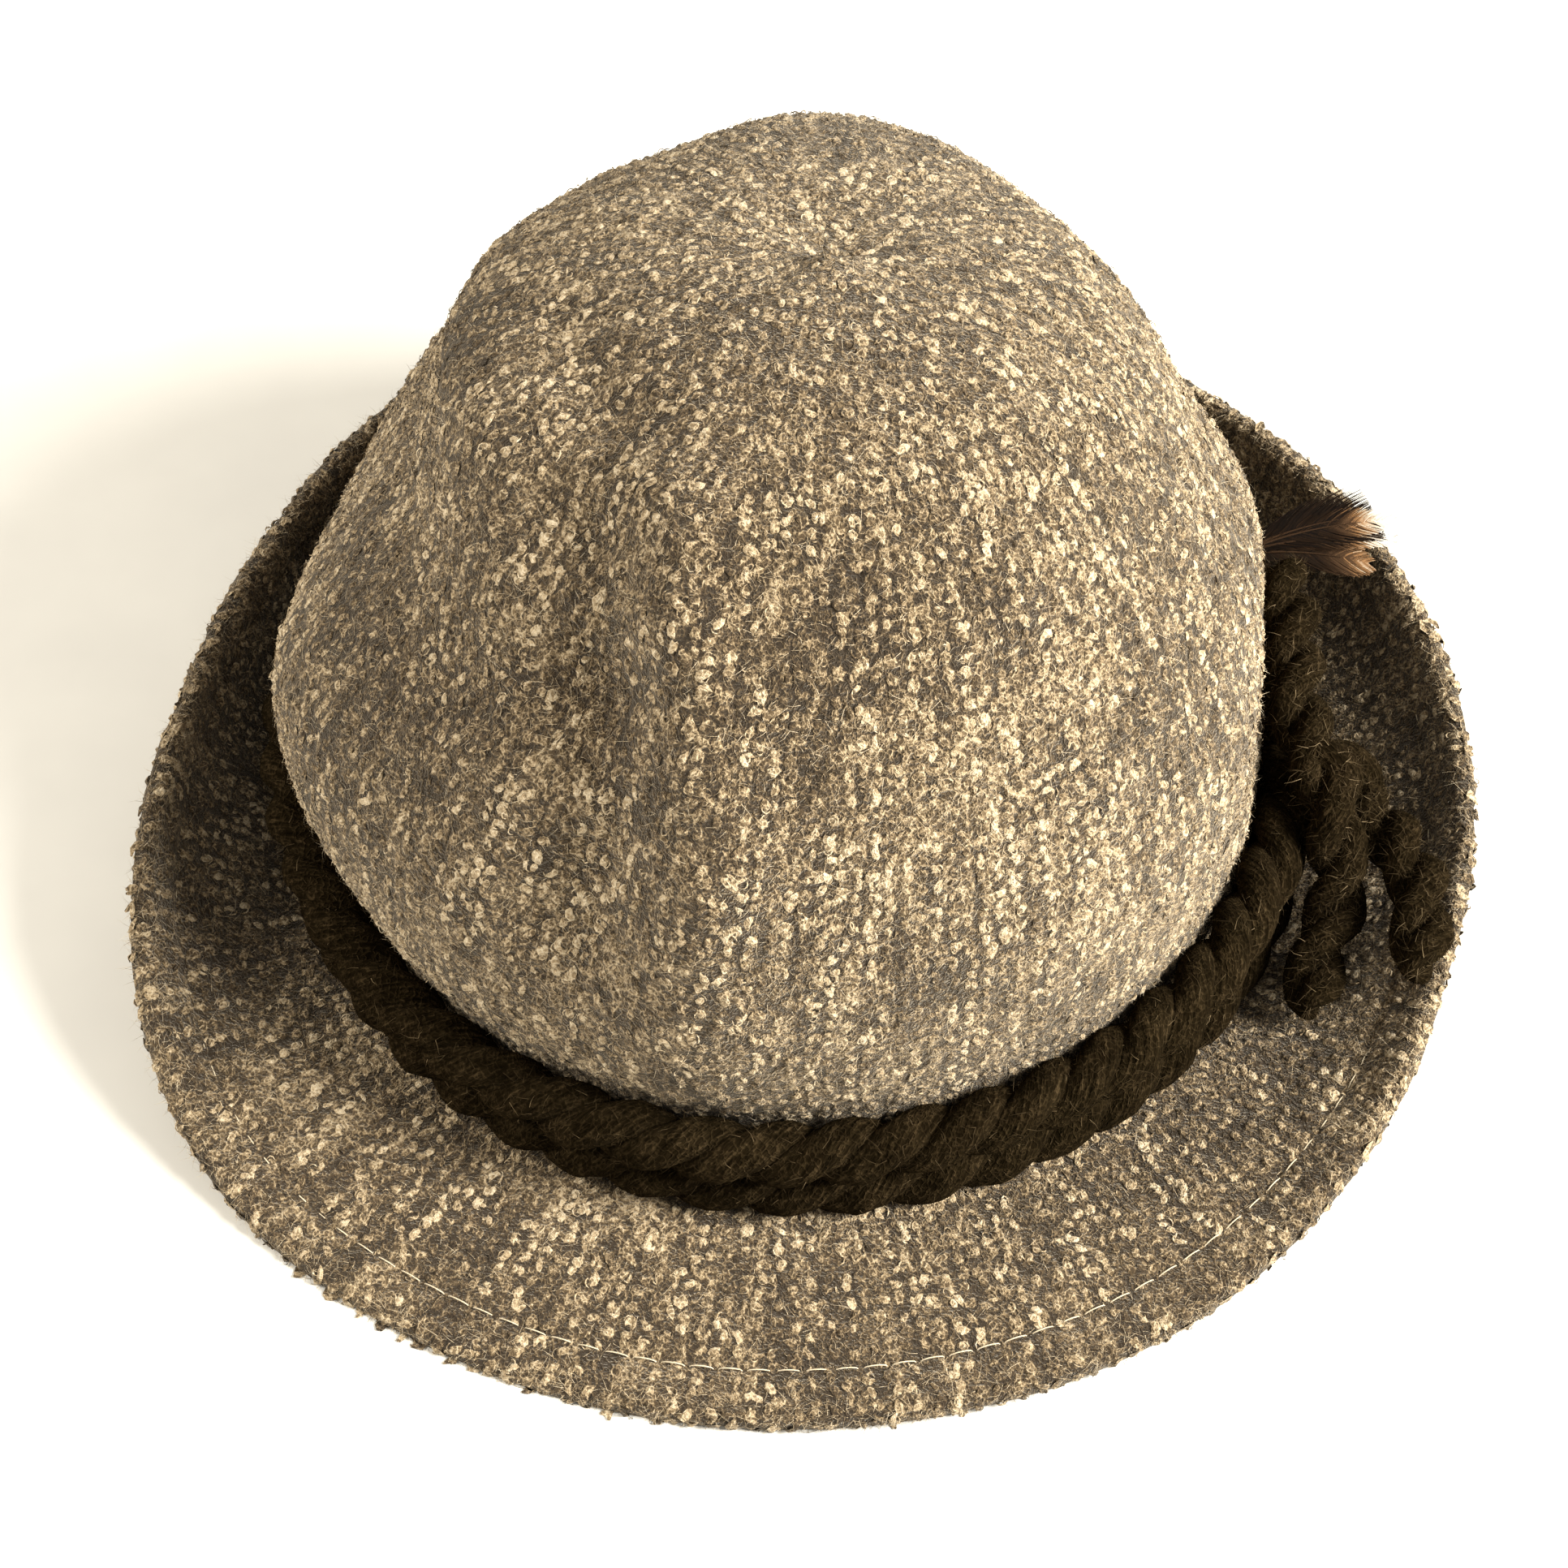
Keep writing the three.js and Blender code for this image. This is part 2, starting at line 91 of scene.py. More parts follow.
HALF_WIDTH = BAND_WIDTH / 2
HALF_LENGTH = BAND_LENGTH / 2
DOME_HEIGHT = CROWN_HEIGHT - COLLAR_HEIGHT - GAP
CORD_RADIUS = CORD_DIAMETER / 2
REACH = CORD_RADIUS + GAP
LINE_STEPS = 40

# Crown sections from the collar up: rise, width, length, back, left, as shares.
CROWN_SECTIONS = [
    (0.0, 1.0, 1.0, 0.0, 0.0),
    (0.1, 1.01, 1.01, 0.0, -0.005),
    (0.24, 1.04, 1.045, 0.0, -0.018),
    (0.4, 1.045, 1.045, 0.005, -0.017),
    (0.56, 0.94, 0.97, 0.01, -0.005),
    (0.71, 0.795, 0.85, 0.015, 0.006),
    (0.84, 0.645, 0.71, 0.02, 0.014),
    (0.93, 0.48, 0.53, 0.025, 0.02),
    (0.985, 0.26, 0.3, 0.025, 0.024),
    (1.0, 0.0, 0.0, 0.025, 0.025),
]

# Soft folds of the crown: turn, rise, reach round and up, push as a share of the width.
CROWN_FOLDS = [
    (-99, 0.32, 9, 0.14, 0.016),
    (-100, 0.56, 8, 0.12, 0.026),
    (-106, 0.72, 9, 0.09, 0.028),
    (-114, 0.83, 11, 0.06, 0.026),
    (-122, 0.91, 16, 0.04, 0.018),
    (-113, 0.5, 9, 0.18, -0.036),
    (-121, 0.74, 12, 0.09, -0.04),
    (-133, 0.86, 16, 0.06, -0.024),
    (-140, 0.5, 17, 0.2, -0.01),
    (166, 0.46, 24, 0.16, -0.048),
    (-168, 0.34, 14, 0.12, 0.012),
    (156, 0.77, 20, 0.1, 0.015),
    (124, 0.85, 20, 0.06, -0.02),
    (26, 0.62, 26, 0.18, -0.034),
    (48, 0.84, 24, 0.08, -0.02),
    (-7, 0.36, 15, 0.13, -0.036),
    (-74, 0.52, 18, 0.2, -0.012),
    (-150, 0.93, 30, 0.03, -0.014),
    (-170, 0.83, 26, 0.06, 0.012),
    (-178, 0.66, 38, 0.11, -0.038),
]

# Brim sections: turn, width share, slope at the collar and at the edge.
BRIM_SECTIONS = [
    (-90, 1.0, -6, -4),
    (-60, 1.0, -4, -2),
    (-42, 1.0, 0, 22),
    (-26, 1.0, 4, 50),
    (-8, 1.0, 8, 60),
    (20, 1.0, 17, 86),
    (50, 1.0, 24, 100),
    (90, 1.0, 28, 98),
    (130, 0.98, 24, 104),
    (158, 0.88, 18, 108),
    (174, 0.9, 13, 106),
    (190, 0.98, 8, 90),
    (206, 1.03, 4, 44),
    (222, 1.07, -1, -2),
    (242, 1.03, -5, -9),
]

# The tie: places over the cord's turns (turn, out, up) and over the brim (turn, out, lift), the
# last two in cord diameters.
STUB_ROUTE = [(15, 0.2, 0.14), (5, 0.08, 0.26), (-6, 0.08, 0.22), (-15, 0.6, -0.02)]
TAIL_FRONT = [(-21, 1.66, 0.55), (-27, 1.72, 0.18), (-33.5, 1.98, 0.04)]
SECOND_ROUTE = [(-9, 0.75, -0.12)]
TAIL_SIDE = [(-12, 1.75, 0.6), (-16.5, 2.4, 0.42), (-22, 2.95, 0.1), (-29, 3.3, 0.04)]
WRAP_ROUTE = [(-13, 0.08, 0.16), (-12, 0.66, 0.06), (-11, 1.06, -0.5), (-11, 1.12, -1.05)]


# Camera first: the photograph's view, from in front and above, aimed at the crown's lower third.
CAMERA_PLACE = Vector((-3.5, -371.6, 504.6)) * MM
CAMERA_AIM = Vector((-5.7, -17.9, 45.0)) * MM
CAMERA_LENS = 68.85


def add_camera():
    camera = bpy.data.objects.new("photo_camera", bpy.data.cameras.new("photo_camera"))
    bpy.context.scene.collection.objects.link(camera)
    camera.location = CAMERA_PLACE
    camera.rotation_euler = (CAMERA_AIM - CAMERA_PLACE).to_track_quat("-Z", "Y").to_euler()
    camera.data.lens = CAMERA_LENS
    camera.data.clip_start = 0.01
    bpy.context.scene.camera = camera


add_camera()


# Shared maths.
NOISE_CELLS = 48


def noise(points, size, seed):
    """Smooth noise from -1 to 1 at rows of points, with lumps of that size."""
    table = np.random.default_rng(seed).uniform(-1, 1, (NOISE_CELLS,) * 3)
    scaled = points / size
    cell = np.floor(scaled).astype(int)
    part = scaled - cell
    part = part * part * (3 - 2 * part)
    total = np.zeros(len(points))
    for corner in itertools.product((0, 1), repeat=3):
        near = np.where(corner, part, 1 - part).prod(axis=1)
        at = (cell + corner) % NOISE_CELLS
        total += near * table[at[:, 0], at[:, 1], at[:, 2]]
    return total


def rows_at(rows, turns):
    """Rows of a table at any turns in degrees, on smooth curves through its rows round the hat."""
    table = np.array(rows, float)
    table = np.vstack([table[-1:], table, table[:2]])
    table[0, 0] -= 360
    table[-2:, 0] += 360
    first = table[1, 0]
    t = first + (np.asarray(turns, float) - first) % 360
    i = np.searchsorted(table[1:-1, 0], t, side="right")
    i = np.clip(i, 1, len(table) - 3)
    p, a, b, q = table[i - 1], table[i], table[i + 1], table[i + 2]
    span = b[:, :1] - a[:, :1]
    f = (t[:, None] - a[:, :1]) / span
    ma = (b - p) / (b[:, :1] - p[:, :1]) * span
    mb = (q - a) / (q[:, :1] - a[:, :1]) * span
    d = b - a
    return a + f * ma + f * f * (3 * d - 2 * ma - mb) + f**3 * (ma + mb - 2 * d)


def smooth_curve(points, shares):
    """Points on a centripetal curve through the given points, at shares from 0 to 1 of its steps."""
    p = np.array(points, float)
    p = np.vstack([2 * p[0] - p[1], p, 2 * p[-1] - p[-2]])
    place = np.clip(shares, 0, 1) * (len(p) - 3)
    i = np.minimum(place.astype(int), len(p) - 4)
    w = (place - i)[:, None]
    a, b, c, d = p[i], p[i + 1], p[i + 2], p[i + 3]
    gap = lambda u, v: np.maximum(((u - v) ** 2).sum(axis=1) ** 0.25, 1e-4)[:, None]
    ab, bc, cd = gap(a, b), gap(b, c), gap(c, d)
    start = ((b - a) / ab - (c - a) / (ab + bc) + (c - b) / bc) * bc
    end = ((c - b) / bc - (d - b) / (bc + cd) + (d - c) / cd) * bc
    turn = c - b
    return b + w * start + w * w * (3 * turn - 2 * start - end) + w**3 * (start + end - 2 * turn)


def unit(rows):
    return rows / np.maximum(np.linalg.norm(rows, axis=-1, keepdims=True), 1e-12)


def lengths_along(points):
    """The way along a line of points, from 0 at its first to its whole length."""
    return np.concatenate([[0], np.cumsum(np.linalg.norm(np.diff(points, axis=0), axis=1))])


# Brim: its cloth line round the hat, at every half degree.
RING_STEPS = 720
RING_ANGLES = np.arange(RING_STEPS) / RING_STEPS * TURN


def brim_widths(angles):
    s = np.sin(angles)
    ends = np.where(s < 0, BRIM_FRONT, BRIM_BACK)
    return (BRIM_SIDE + (ends - BRIM_SIDE) * s * s) * rows_at(BRIM_SECTIONS, np.degrees(angles))[:, 1]


def brim_lines(angles):
    """Each angle's cloth line: out, up and slope at every step."""
    rows = rows_at(BRIM_SECTIONS, np.degrees(angles))
    step = brim_widths(angles) / LINE_STEPS
    shares = ((np.arange(LINE_STEPS) + 0.5) / LINE_STEPS) ** CURL
    slopes = np.radians(rows[:, 2:3] + (rows[:, 3:4] - rows[:, 2:3]) * shares)
    start = np.zeros((len(angles), 1))
    outs = np.hstack([start, np.cumsum(np.cos(slopes) * step[:, None], axis=1)])
    ups = np.hstack([start, np.cumsum(np.sin(slopes) * step[:, None], axis=1)])
    return outs, ups, np.hstack([np.radians(rows[:, 2:3]), slopes])


def underside_depth(angle):
    angles = np.array([angle])
    _, ups, slopes = brim_lines(angles)
    left = brim_widths(angles)[0] * (1 - np.arange(LINE_STEPS + 1) / LINE_STEPS)
    wall = np.where(left < HEM_WIDTH, HEM_WALL, WALL)
    return -min(-WALL, (ups[0] - np.cos(slopes[0]) * wall).min()) - PRESS


RISE_FRONT = underside_depth(-math.pi / 2)
RISE_BACK = underside_depth(math.pi / 2)


def band_rise(angles):
    return RISE_FRONT + (RISE_BACK - RISE_FRONT) * (1 + np.sin(angles)) / 2


def over(angles, out, up):
    """Points over the band line: out from the wall, up from the line."""
    x = (HALF_WIDTH + out) * np.cos(angles)
    y = (HALF_LENGTH + out) * np.sin(angles)
    return np.stack([x, y, band_rise(angles) + up], axis=-1)


LINE_TABLES = brim_lines(RING_ANGLES)
WIDTH_TABLE = brim_widths(RING_ANGLES)


def brim_surface(angles, distances, depths):
    """Points of the brim at distances out from the collar, at depths under its upper face."""
    place = (angles / TURN % 1) * RING_STEPS
    i = place.astype(int) % RING_STEPS
    j = (i + 1) % RING_STEPS
    f = place - place.astype(int)
    width = WIDTH_TABLE[i] * (1 - f) + WIDTH_TABLE[j] * f
    along = np.clip(distances / width, 0, 1) * LINE_STEPS
    k = np.minimum(along.astype(int), LINE_STEPS - 1)
    g = along - k
    mixed = []
    for table in LINE_TABLES:
        near = table[i, k] * (1 - g) + table[i, k + 1] * g
        far = table[j, k] * (1 - g) + table[j, k + 1] * g
        mixed.append(near * (1 - f) + far * f)
    out, up, slope = mixed
    points = over(angles, out + np.sin(slope) * depths, up - np.cos(slope) * depths)
    points[:, 2] = np.maximum(points[:, 2], 0)
    return points


# The hat's origin is under the middle of its outline.
EDGE = brim_surface(RING_ANGLES, WIDTH_TABLE, np.full(RING_STEPS, HEM_WALL / 2))
BRIM_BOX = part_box("brim")
BOX_MIDDLE = (np.array(BRIM_BOX[0]) + np.array(BRIM_BOX[1])) / 2
SHIFT = (BOX_MIDDLE - (EDGE.min(axis=0) + EDGE.max(axis=0)) / 2) * [1, 1, 0]


# Crown.
CROWN_KEYS = np.array(CROWN_SECTIONS)


def crown_surface(shares, angles, inset):
    """Points of the crown at shares of its section curve and at angles, inset under its outside."""
    size = smooth_curve(CROWN_KEYS[:, [0, 1, 2]], shares)
    shift = smooth_curve(CROWN_KEYS[:, [0, 4, 3]], shares)
    low = smooth_curve(CROWN_KEYS[:, [0, 1, 2]], np.maximum(0, shares - 0.01))
    high = smooth_curve(CROWN_KEYS[:, [0, 1, 2]], np.minimum(1, shares + 0.01))
    outward = (high[:, 0] - low[:, 0]) * DOME_HEIGHT
    upward = (low[:, 1] - high[:, 1]) * HALF_WIDTH
    length = np.hypot(outward, upward)
    push = np.zeros(len(shares))
    for turn, rise, wide, tall, amount in CROWN_FOLDS:
        away = (np.degrees(angles) - turn + 180) % 360 - 180
        push += amount * BAND_WIDTH * np.exp(-((away / wide) ** 2) - ((size[:, 0] - rise) / tall) ** 2)
    tip = shares >= 1
    offset = np.where(tip, -inset, push - inset)
    out = np.where(tip, 0, offset * outward / length)
    up = np.where(tip, offset, offset * upward / length)
    x = (size[:, 1] * HALF_WIDTH + out) * np.cos(angles) + shift[:, 1] * BAND_LENGTH
    y = (size[:, 2] * HALF_LENGTH + out) * np.sin(angles) + shift[:, 2] * BAND_LENGTH
    z = band_rise(angles) + COLLAR_HEIGHT + GAP + size[:, 0] * DOME_HEIGHT + up
    return np.stack([x, y, z], axis=-1)


# Heights along the crown are measured on its cloth, up from the collar.
PROFILE_STEPS = 400
PROFILE_SHARES = np.linspace(0, 1, PROFILE_STEPS)
PROFILE = crown_surface(PROFILE_SHARES, np.full(PROFILE_STEPS, -TURN / 4), 0)
PROFILE_LENGTHS = lengths_along(PROFILE)
CROWN_CLIMB = PROFILE_LENGTHS[-1]


def lumps(points):
    """How far the fulled cloth stands out of its smooth form."""
    return 0.45 * MM * noise(points, 9 * MM, 1) + 0.3 * MM * noise(points, 3.4 * MM, 2)


def crown_skin(angles, climbs):
    shares = np.interp(climbs, PROFILE_LENGTHS, PROFILE_SHARES)
    points = crown_surface(shares, angles, 0)
    middle = np.array([0, 0, 60 * MM])
    return points + unit(points - middle) * lumps(points)[:, None] + SHIFT


def crown_lining(angles, climbs):
    shares = np.interp(climbs, PROFILE_LENGTHS, PROFILE_SHARES)
    return crown_surface(shares, angles, WALL) + SHIFT


# Radius of the brim's edge, half width of the hem's groove, and length of the hem's inner slope.
LIP = HEM_WALL / 2
GROOVE_HALF = 1.1 * MM
HEM_SLOPE = 2 * MM


def brim_loop(angles):
    """Length of the way from the collar out over the brim, round the lip and back underneath."""
    return 2 * (np.interp(angles % TURN, RING_ANGLES, WIDTH_TABLE, period=TURN) - LIP) + math.pi * LIP


def brim_skin(angles, lengths):
    """Points of the brim's cloth by the way along it."""
    flat = np.interp(angles % TURN, RING_ANGLES, WIDTH_TABLE, period=TURN) - LIP
    round_lip = np.clip((lengths - flat) / LIP, 0, math.pi)
    back = np.maximum(lengths - flat - math.pi * LIP, 0)
    groove = HEM_GROOVE * np.exp(-(((lengths - flat - LIP + STITCH_LINE) / GROOVE_HALF) ** 2))
    hem_ends = np.clip((back - HEM_WIDTH + LIP + HEM_SLOPE) / HEM_SLOPE, 0, 1)
    under = HEM_WALL - (HEM_WALL - WALL) * hem_ends
    distances = np.minimum(lengths, flat) + LIP * np.sin(round_lip) - back
    depths = np.where(back > 0, under, np.where(lengths < flat, groove, LIP * (1 - np.cos(round_lip))))
    points = brim_surface(angles, distances, depths)
    face = np.where(round_lip > math.pi / 2, -1, 1)
    return brim_surface(angles, distances, depths - face * lumps(points)) + SHIFT


# Steps for a skin's directions: round it, and along it.
NEXT_ANGLE = math.radians(0.2)
NEXT_LENGTH = 0.4 * MM


def frames_on(skin, angles, lengths, side):
    """Points of a skin with its directions: on along it, across it, and out of it."""
    at = skin(angles, lengths)
    across = unit(skin(angles + NEXT_ANGLE, lengths) - at)
    along = unit(skin(angles, lengths + NEXT_LENGTH) - at)
    outward = unit(np.cross(across, along)) * side
    return at, along, across, outward


# Meshes from arrays.
def mesh_object(name, points, faces, material, slot):
    """A piece from rows of points and rows of corner numbers, three or four to a face."""
    mesh = bpy.data.meshes.new(name)
    corners = faces.shape[1]
    mesh.vertices.add(len(points))
    mesh.vertices.foreach_set("co", np.asarray(points, np.float32).ravel())
    mesh.loops.add(faces.size)
    mesh.loops.foreach_set("vertex_index", np.asarray(faces, np.int32).ravel())
    mesh.polygons.add(len(faces))
    mesh.polygons.foreach_set("loop_start", np.arange(len(faces), dtype=np.int32) * corners)
    mesh.polygons.foreach_set("use_smooth", np.full(len(faces), True))
    mesh.update(calc_edges=True)
    mesh.validate()
    mesh.materials.append(material)
    piece = bpy.data.objects.new(name, mesh)
    bpy.context.scene.collection.objects.link(piece)
    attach(piece, "root")
    return piece


def set_numbers(piece, name, values):
    attribute = piece.data.attributes.new(name, "FLOAT", "POINT")
    attribute.data.foreach_set("value", np.asarray(values, np.float32))


def set_map(piece, coordinates):
    """A surface map in metres: one pair of numbers for each point."""
    layer = piece.data.uv_layers.new(name="cloth")
    corners = np.zeros(len(piece.data.loops), np.int32)
    piece.data.loops.foreach_get("vertex_index", corners)
    layer.data.foreach_set("uv", np.asarray(coordinates, np.float32)[corners].ravel())


def grid_faces(rows, columns, closed):
    """Four-cornered faces over rings of points; if closed, also from the last ring to the first."""
    row = np.arange(rows if closed else rows - 1)[:, None] * columns
    after = (row + columns) % (rows * columns)
    c = np.arange(columns)[None, :]
    d = (c + 1) % columns
    return np.stack([row + c, row + d, after + d, after + c], axis=-1).reshape(-1, 4)


def joined(parts):
    """Points and faces of parts in one: each part starts with its own points and faces."""
    firsts = np.cumsum([0] + [len(part[0]) for part in parts])
    faces = [part[1] + first for part, first in zip(parts, firsts)]
    return np.vstack([part[0] for part in parts]), np.vstack(faces)


def strip_starts(count, steps):
    """Number of each step but the last of so many strips, in one column."""
    return (np.arange(count)[:, None] * steps + np.arange(steps - 1)[None, :]).reshape(-1, 1)


def ribbons(centres, widths, sides):
    """Flat strips along rows of centres: their points, and faces for all of them."""
    count, steps, _ = centres.shape
    half = sides * widths[..., None] / 2
    points = np.stack([centres - half, centres + half], axis=2).reshape(-1, 3)
    return points, strip_starts(count, steps) * 2 + np.array([[0, 1, 3, 2]])


# No cloth, yarn or hair reaches lower than this.
LOWEST = 0.1 * MM


def above_floor(points):
    points[:, 2] = np.maximum(points[:, 2], LOWEST)
    return points


# Materials.
class Shader:
    """A material's nodes, added and joined by short calls."""

    def __init__(self, name):
        self.material = bpy.data.materials.new(name)
        self.material.use_nodes = True
        self.nodes = self.material.node_tree.nodes
        self.links = self.material.node_tree.links
        self.surface = self.nodes["Principled BSDF"]

    def add(self, kind, inputs=(), **settings):
        node = self.nodes.new(kind)
        for key, value in settings.items():
            setattr(node, key, value)
        for key, value in dict(inputs).items():
            self.put(node.inputs[key], value)
        return node

    def put(self, socket, value):
        if isinstance(value, bpy.types.NodeSocket):
            self.links.new(value, socket)
        else:
            socket.default_value = value

    def math(self, operation, *values):
        return self.add("ShaderNodeMath", enumerate(values), operation=operation).outputs[0]

    def ramp(self, value, stops):
        node = self.add("ShaderNodeValToRGB", {"Fac": value})
        for _ in stops[2:]:
            node.color_ramp.elements.new(0.5)
        for element, (place, color) in zip(node.color_ramp.elements, stops):
            element.position = place
            element.color = (*color, 1)
        return node.outputs["Color"]

    def noise(self, where, size, detail=2.0, rough=0.5):
        inputs = {"Vector": where, "Scale": 1 / size, "Detail": detail, "Roughness": rough}
        return self.add("ShaderNodeTexNoise", inputs).outputs["Fac"]

    def strands(self, where, size):
        """Thin winding lines, 1 along each line and falling to 0 between them."""
        waves = self.noise(where, size, 1.0, 0.4)
        away = self.math("ABSOLUTE", self.math("SUBTRACT", waves, 0.5))
        return self.math("SUBTRACT", 1.0, self.math("MINIMUM", self.math("MULTIPLY", away, 9.0), 1.0))

    def bump(self, height, distance):
        node = self.add("ShaderNodeBump", {"Height": height, "Distance": distance, "Strength": 0.9})
        self.links.new(node.outputs["Normal"], self.surface.inputs["Normal"])

    def place(self):
        return self.add("ShaderNodeTexCoord").outputs["Object"]

    def tone(self):
        """The tone that set_numbers gave each point."""
        return self.add("ShaderNodeAttribute", attribute_name="tone").outputs["Fac"]

    def paint(self, value, stops):
        self.put(self.surface.inputs["Base Color"], self.ramp(value, stops))

    def finish(self, roughness, sheen, sheen_roughness=0.5, sheen_tint=(1, 1, 1), gloss=0.2):
        self.surface.inputs["Roughness"].default_value = roughness
        self.surface.inputs["Specular IOR Level"].default_value = gloss
        self.surface.inputs["Sheen Weight"].default_value = sheen
        self.surface.inputs["Sheen Roughness"].default_value = sheen_roughness
        self.surface.inputs["Sheen Tint"].default_value = (*sheen_tint, 1)
        return self.material


WOOL_STOPS = [
    (0.0, (0.022, 0.014, 0.007)),
    (0.3, (0.074, 0.049, 0.024)),
    (0.5, (0.212, 0.152, 0.083)),
    (0.7, (0.385, 0.293, 0.176)),
    (1.0, (0.56, 0.465, 0.32)),
]


def wool_material(name, stitch_shade_and_depth, relief):
    """Tweed wool: winding fibres over each stitch, light on dark, by the tone of each point."""
    shader = Shader(name)
    where = shader.place()
    tone = shader.tone()
    bend = shader.add("ShaderNodeTexNoise", {"Vector": where, "Scale": 1 / (1.8 * MM), "Detail": 1.0})
    bent = shader.add("ShaderNodeVectorMath", operation="MULTIPLY_ADD")
    shader.put(bent.inputs[0], bend.outputs["Color"])
    bent.inputs[1].default_value = (1.4 * MM, 1.4 * MM, 1.4 * MM)
    shader.put(bent.inputs[2], where)
    coarse = shader.strands(bent.outputs[0], 1.5 * MM)
    fine = shader.strands(where, 0.8 * MM)
    fibres = shader.math("ADD", shader.math("MULTIPLY", coarse, 0.6), shader.math("MULTIPLY", fine, 0.5))
    grain = shader.noise(where, 0.4 * MM, 2.0, 0.6)
    light = shader.math("ADD", fibres, shader.math("MULTIPLY", grain, 0.7))
    mixed = shader.math("ADD", tone, shader.math("MULTIPLY", shader.math("SUBTRACT", light, 0.72), 0.6))
    height = shader.math("ADD", fibres, grain)
    if stitch_shade_and_depth:
        # Darker towards the edges of stitch-sized cells: painted shade in the hollows between stitches.
        # The same hollows are also sunk in the bump.
        cells = shader.add("ShaderNodeTexVoronoi", {"Vector": bent.outputs[0], "Scale": 1 / COURSE})
        hollow_shade_and_depth = shader.math("MULTIPLY", cells.outputs["Distance"], stitch_shade_and_depth)
        mixed = shader.math("SUBTRACT", mixed, hollow_shade_and_depth)
        height = shader.math("SUBTRACT", height, shader.math("MULTIPLY", hollow_shade_and_depth, 4.0))
    shader.paint(mixed, WOOL_STOPS)
    shader.bump(height, relief)
    return shader.finish(0.95, 0.25, 0.5, (0.9, 0.82, 0.68))


# The cloth gets painted shade in its stitch hollows; the loops and curls get none.
KNIT = wool_material("knit_cloth", 0.3, 0.55 * MM)
CURLS = wool_material("knit_curls", 0.0, 0.3 * MM)


# Tones of the tweed, from 0, dark, to 1, cream: the middle one, the lightest, and the length of a
# run of one tone along a wale. For the runs, wales have numbers that rise round the hat to the last.
MIDDLE_TONE = 0.46
LIGHTEST_TONE = 0.75
TONE_RUN = 9 * MM
WALE_CHANGE = 2.9
LAST_WALE = 200
LAST_BRIM_CLOTH_WALE = 260
# The cloth under the loops is painted darker than they are: painted shade in the gaps between the loops.
CROWN_CLOTH_PAINTED_SHADE = -0.13
BRIM_CLOTH_PAINTED_SHADE = -0.15


def tones(points, wales, runs, shades):
    """Tweed tones: cloudy patches, and runs of one tone along a wale."""
    run_points = np.stack([wales * WALE_CHANGE, runs / TONE_RUN, np.zeros(len(wales))], axis=-1)
    clouds = 0.13 * noise(points, 22 * MM, 11) + 0.07 * noise(points, 7 * MM, 12)
    streaks = 0.26 * noise(run_points, 1.0, 13)
    # shades: each stitch's own random tone, or, for the cloth under the loops, a fixed darkening that is
    # painted shade.
    return np.minimum(MIDDLE_TONE + clouds + streaks + 0.8 * shades, LIGHTEST_TONE)


def knit_places(reach, girth, wales_at_start, rng):
    """Stitches in courses up to a reach: columns of wales, some of which end where the girth shrinks."""
    angles, lengths, wales = [], [], []
    count = wales_at_start
    for length in np.arange(0.5, int(reach / COURSE)) * COURSE:
        while girth(length) / count < TIGHTEST_WALE * WALE and count > FEWEST_WALES:
            count = int(count * WALES_LEFT)
        offsets = rng.normal(0, 0.1, count)
        angles.append((np.arange(count) + offsets) / count * TURN)
        lengths.append(length + rng.uniform(-0.3, 0.3, count) * COURSE)
        wales.append(np.arange(count) / count * LAST_WALE)
    angles = np.concatenate(angles)
    return angles, np.concatenate(lengths), np.concatenate(wales), rng.normal(0, 0.11, len(angles))


# Loops: points along a bend of yarn, its width, and by how many mm the second layer stands lower.
YARN_STEPS = 4
YARN_WIDTH = 1.55 * MM
SECOND_LOOPS_DOWN = 0.15


def loops(name, skin, places, side, rng, low=0.0):
    """A short thick bend of yarn at each place, domed across, its ends sunk in the cloth."""
    angles, lengths, wales, shades = places
    count = len(angles)
    at, along, across, outward = frames_on(skin, angles, lengths, side)
    aside = rng.normal(0, 0.3 * MM, (2, count, 1))
    at = at + aside[0] * along + aside[1] * across
    lean = rng.normal(0, 0.75, count)[:, None]
    on = np.cos(lean) * along + np.sin(lean) * across
    beside = np.cross(outward, on)
    reach = rng.uniform(1.1, 1.9, count)[:, None] * MM
    bow = rng.normal(0, 0.55, count)[:, None] * MM
    share = np.linspace(-1, 1, YARN_STEPS)[None, :]
    arch = 1 - share**2
    rise = (rng.uniform(0.1, 0.58, count)[:, None] - low) * MM * arch - 0.3 * MM
    on_by, aside_by, up_by = (v[..., None] for v in (reach * share, bow * arch, rise))
    centre = at[:, None] + on[:, None] * on_by + beside[:, None] * aside_by + outward[:, None] * up_by
    tangents = unit(np.gradient(centre, axis=1))
    sides = unit(np.cross(tangents, outward[:, None]))
    half = YARN_WIDTH / 2 * rng.uniform(0.75, 1.2, count)[:, None] * (0.3 + 0.7 * arch)
    crest = centre + outward[:, None] * half[..., None] * 0.6
    rails = [centre - sides * half[..., None], crest, centre + sides * half[..., None]]
    points = np.stack(rails, axis=2).reshape(-1, 3)
    first = strip_starts(count, YARN_STEPS) * 3
    faces = np.vstack([first + np.array([[0, 3, 4, 1]]), first + np.array([[1, 4, 5, 2]])])
    piece = mesh_object(name, above_floor(points), faces, CURLS, "knit")
    tone = tones(at, wales, lengths, shades + rng.normal(0, 0.07, count))
    # A loop is painted darker at its ends, where they sink into the cloth: painted shade.
    ends = np.tile(np.repeat(0.16 * (arch[0] - 0.8), 3), count)
    set_numbers(piece, "tone", np.repeat(tone, 3 * YARN_STEPS) + ends)


# Fine curls over the loops: radius, points along a strand, and a strand's width.
CURL_RADIUS = 1.0 * MM
CURL_STEPS = 5
CURL_WIDTH = 0.26 * MM


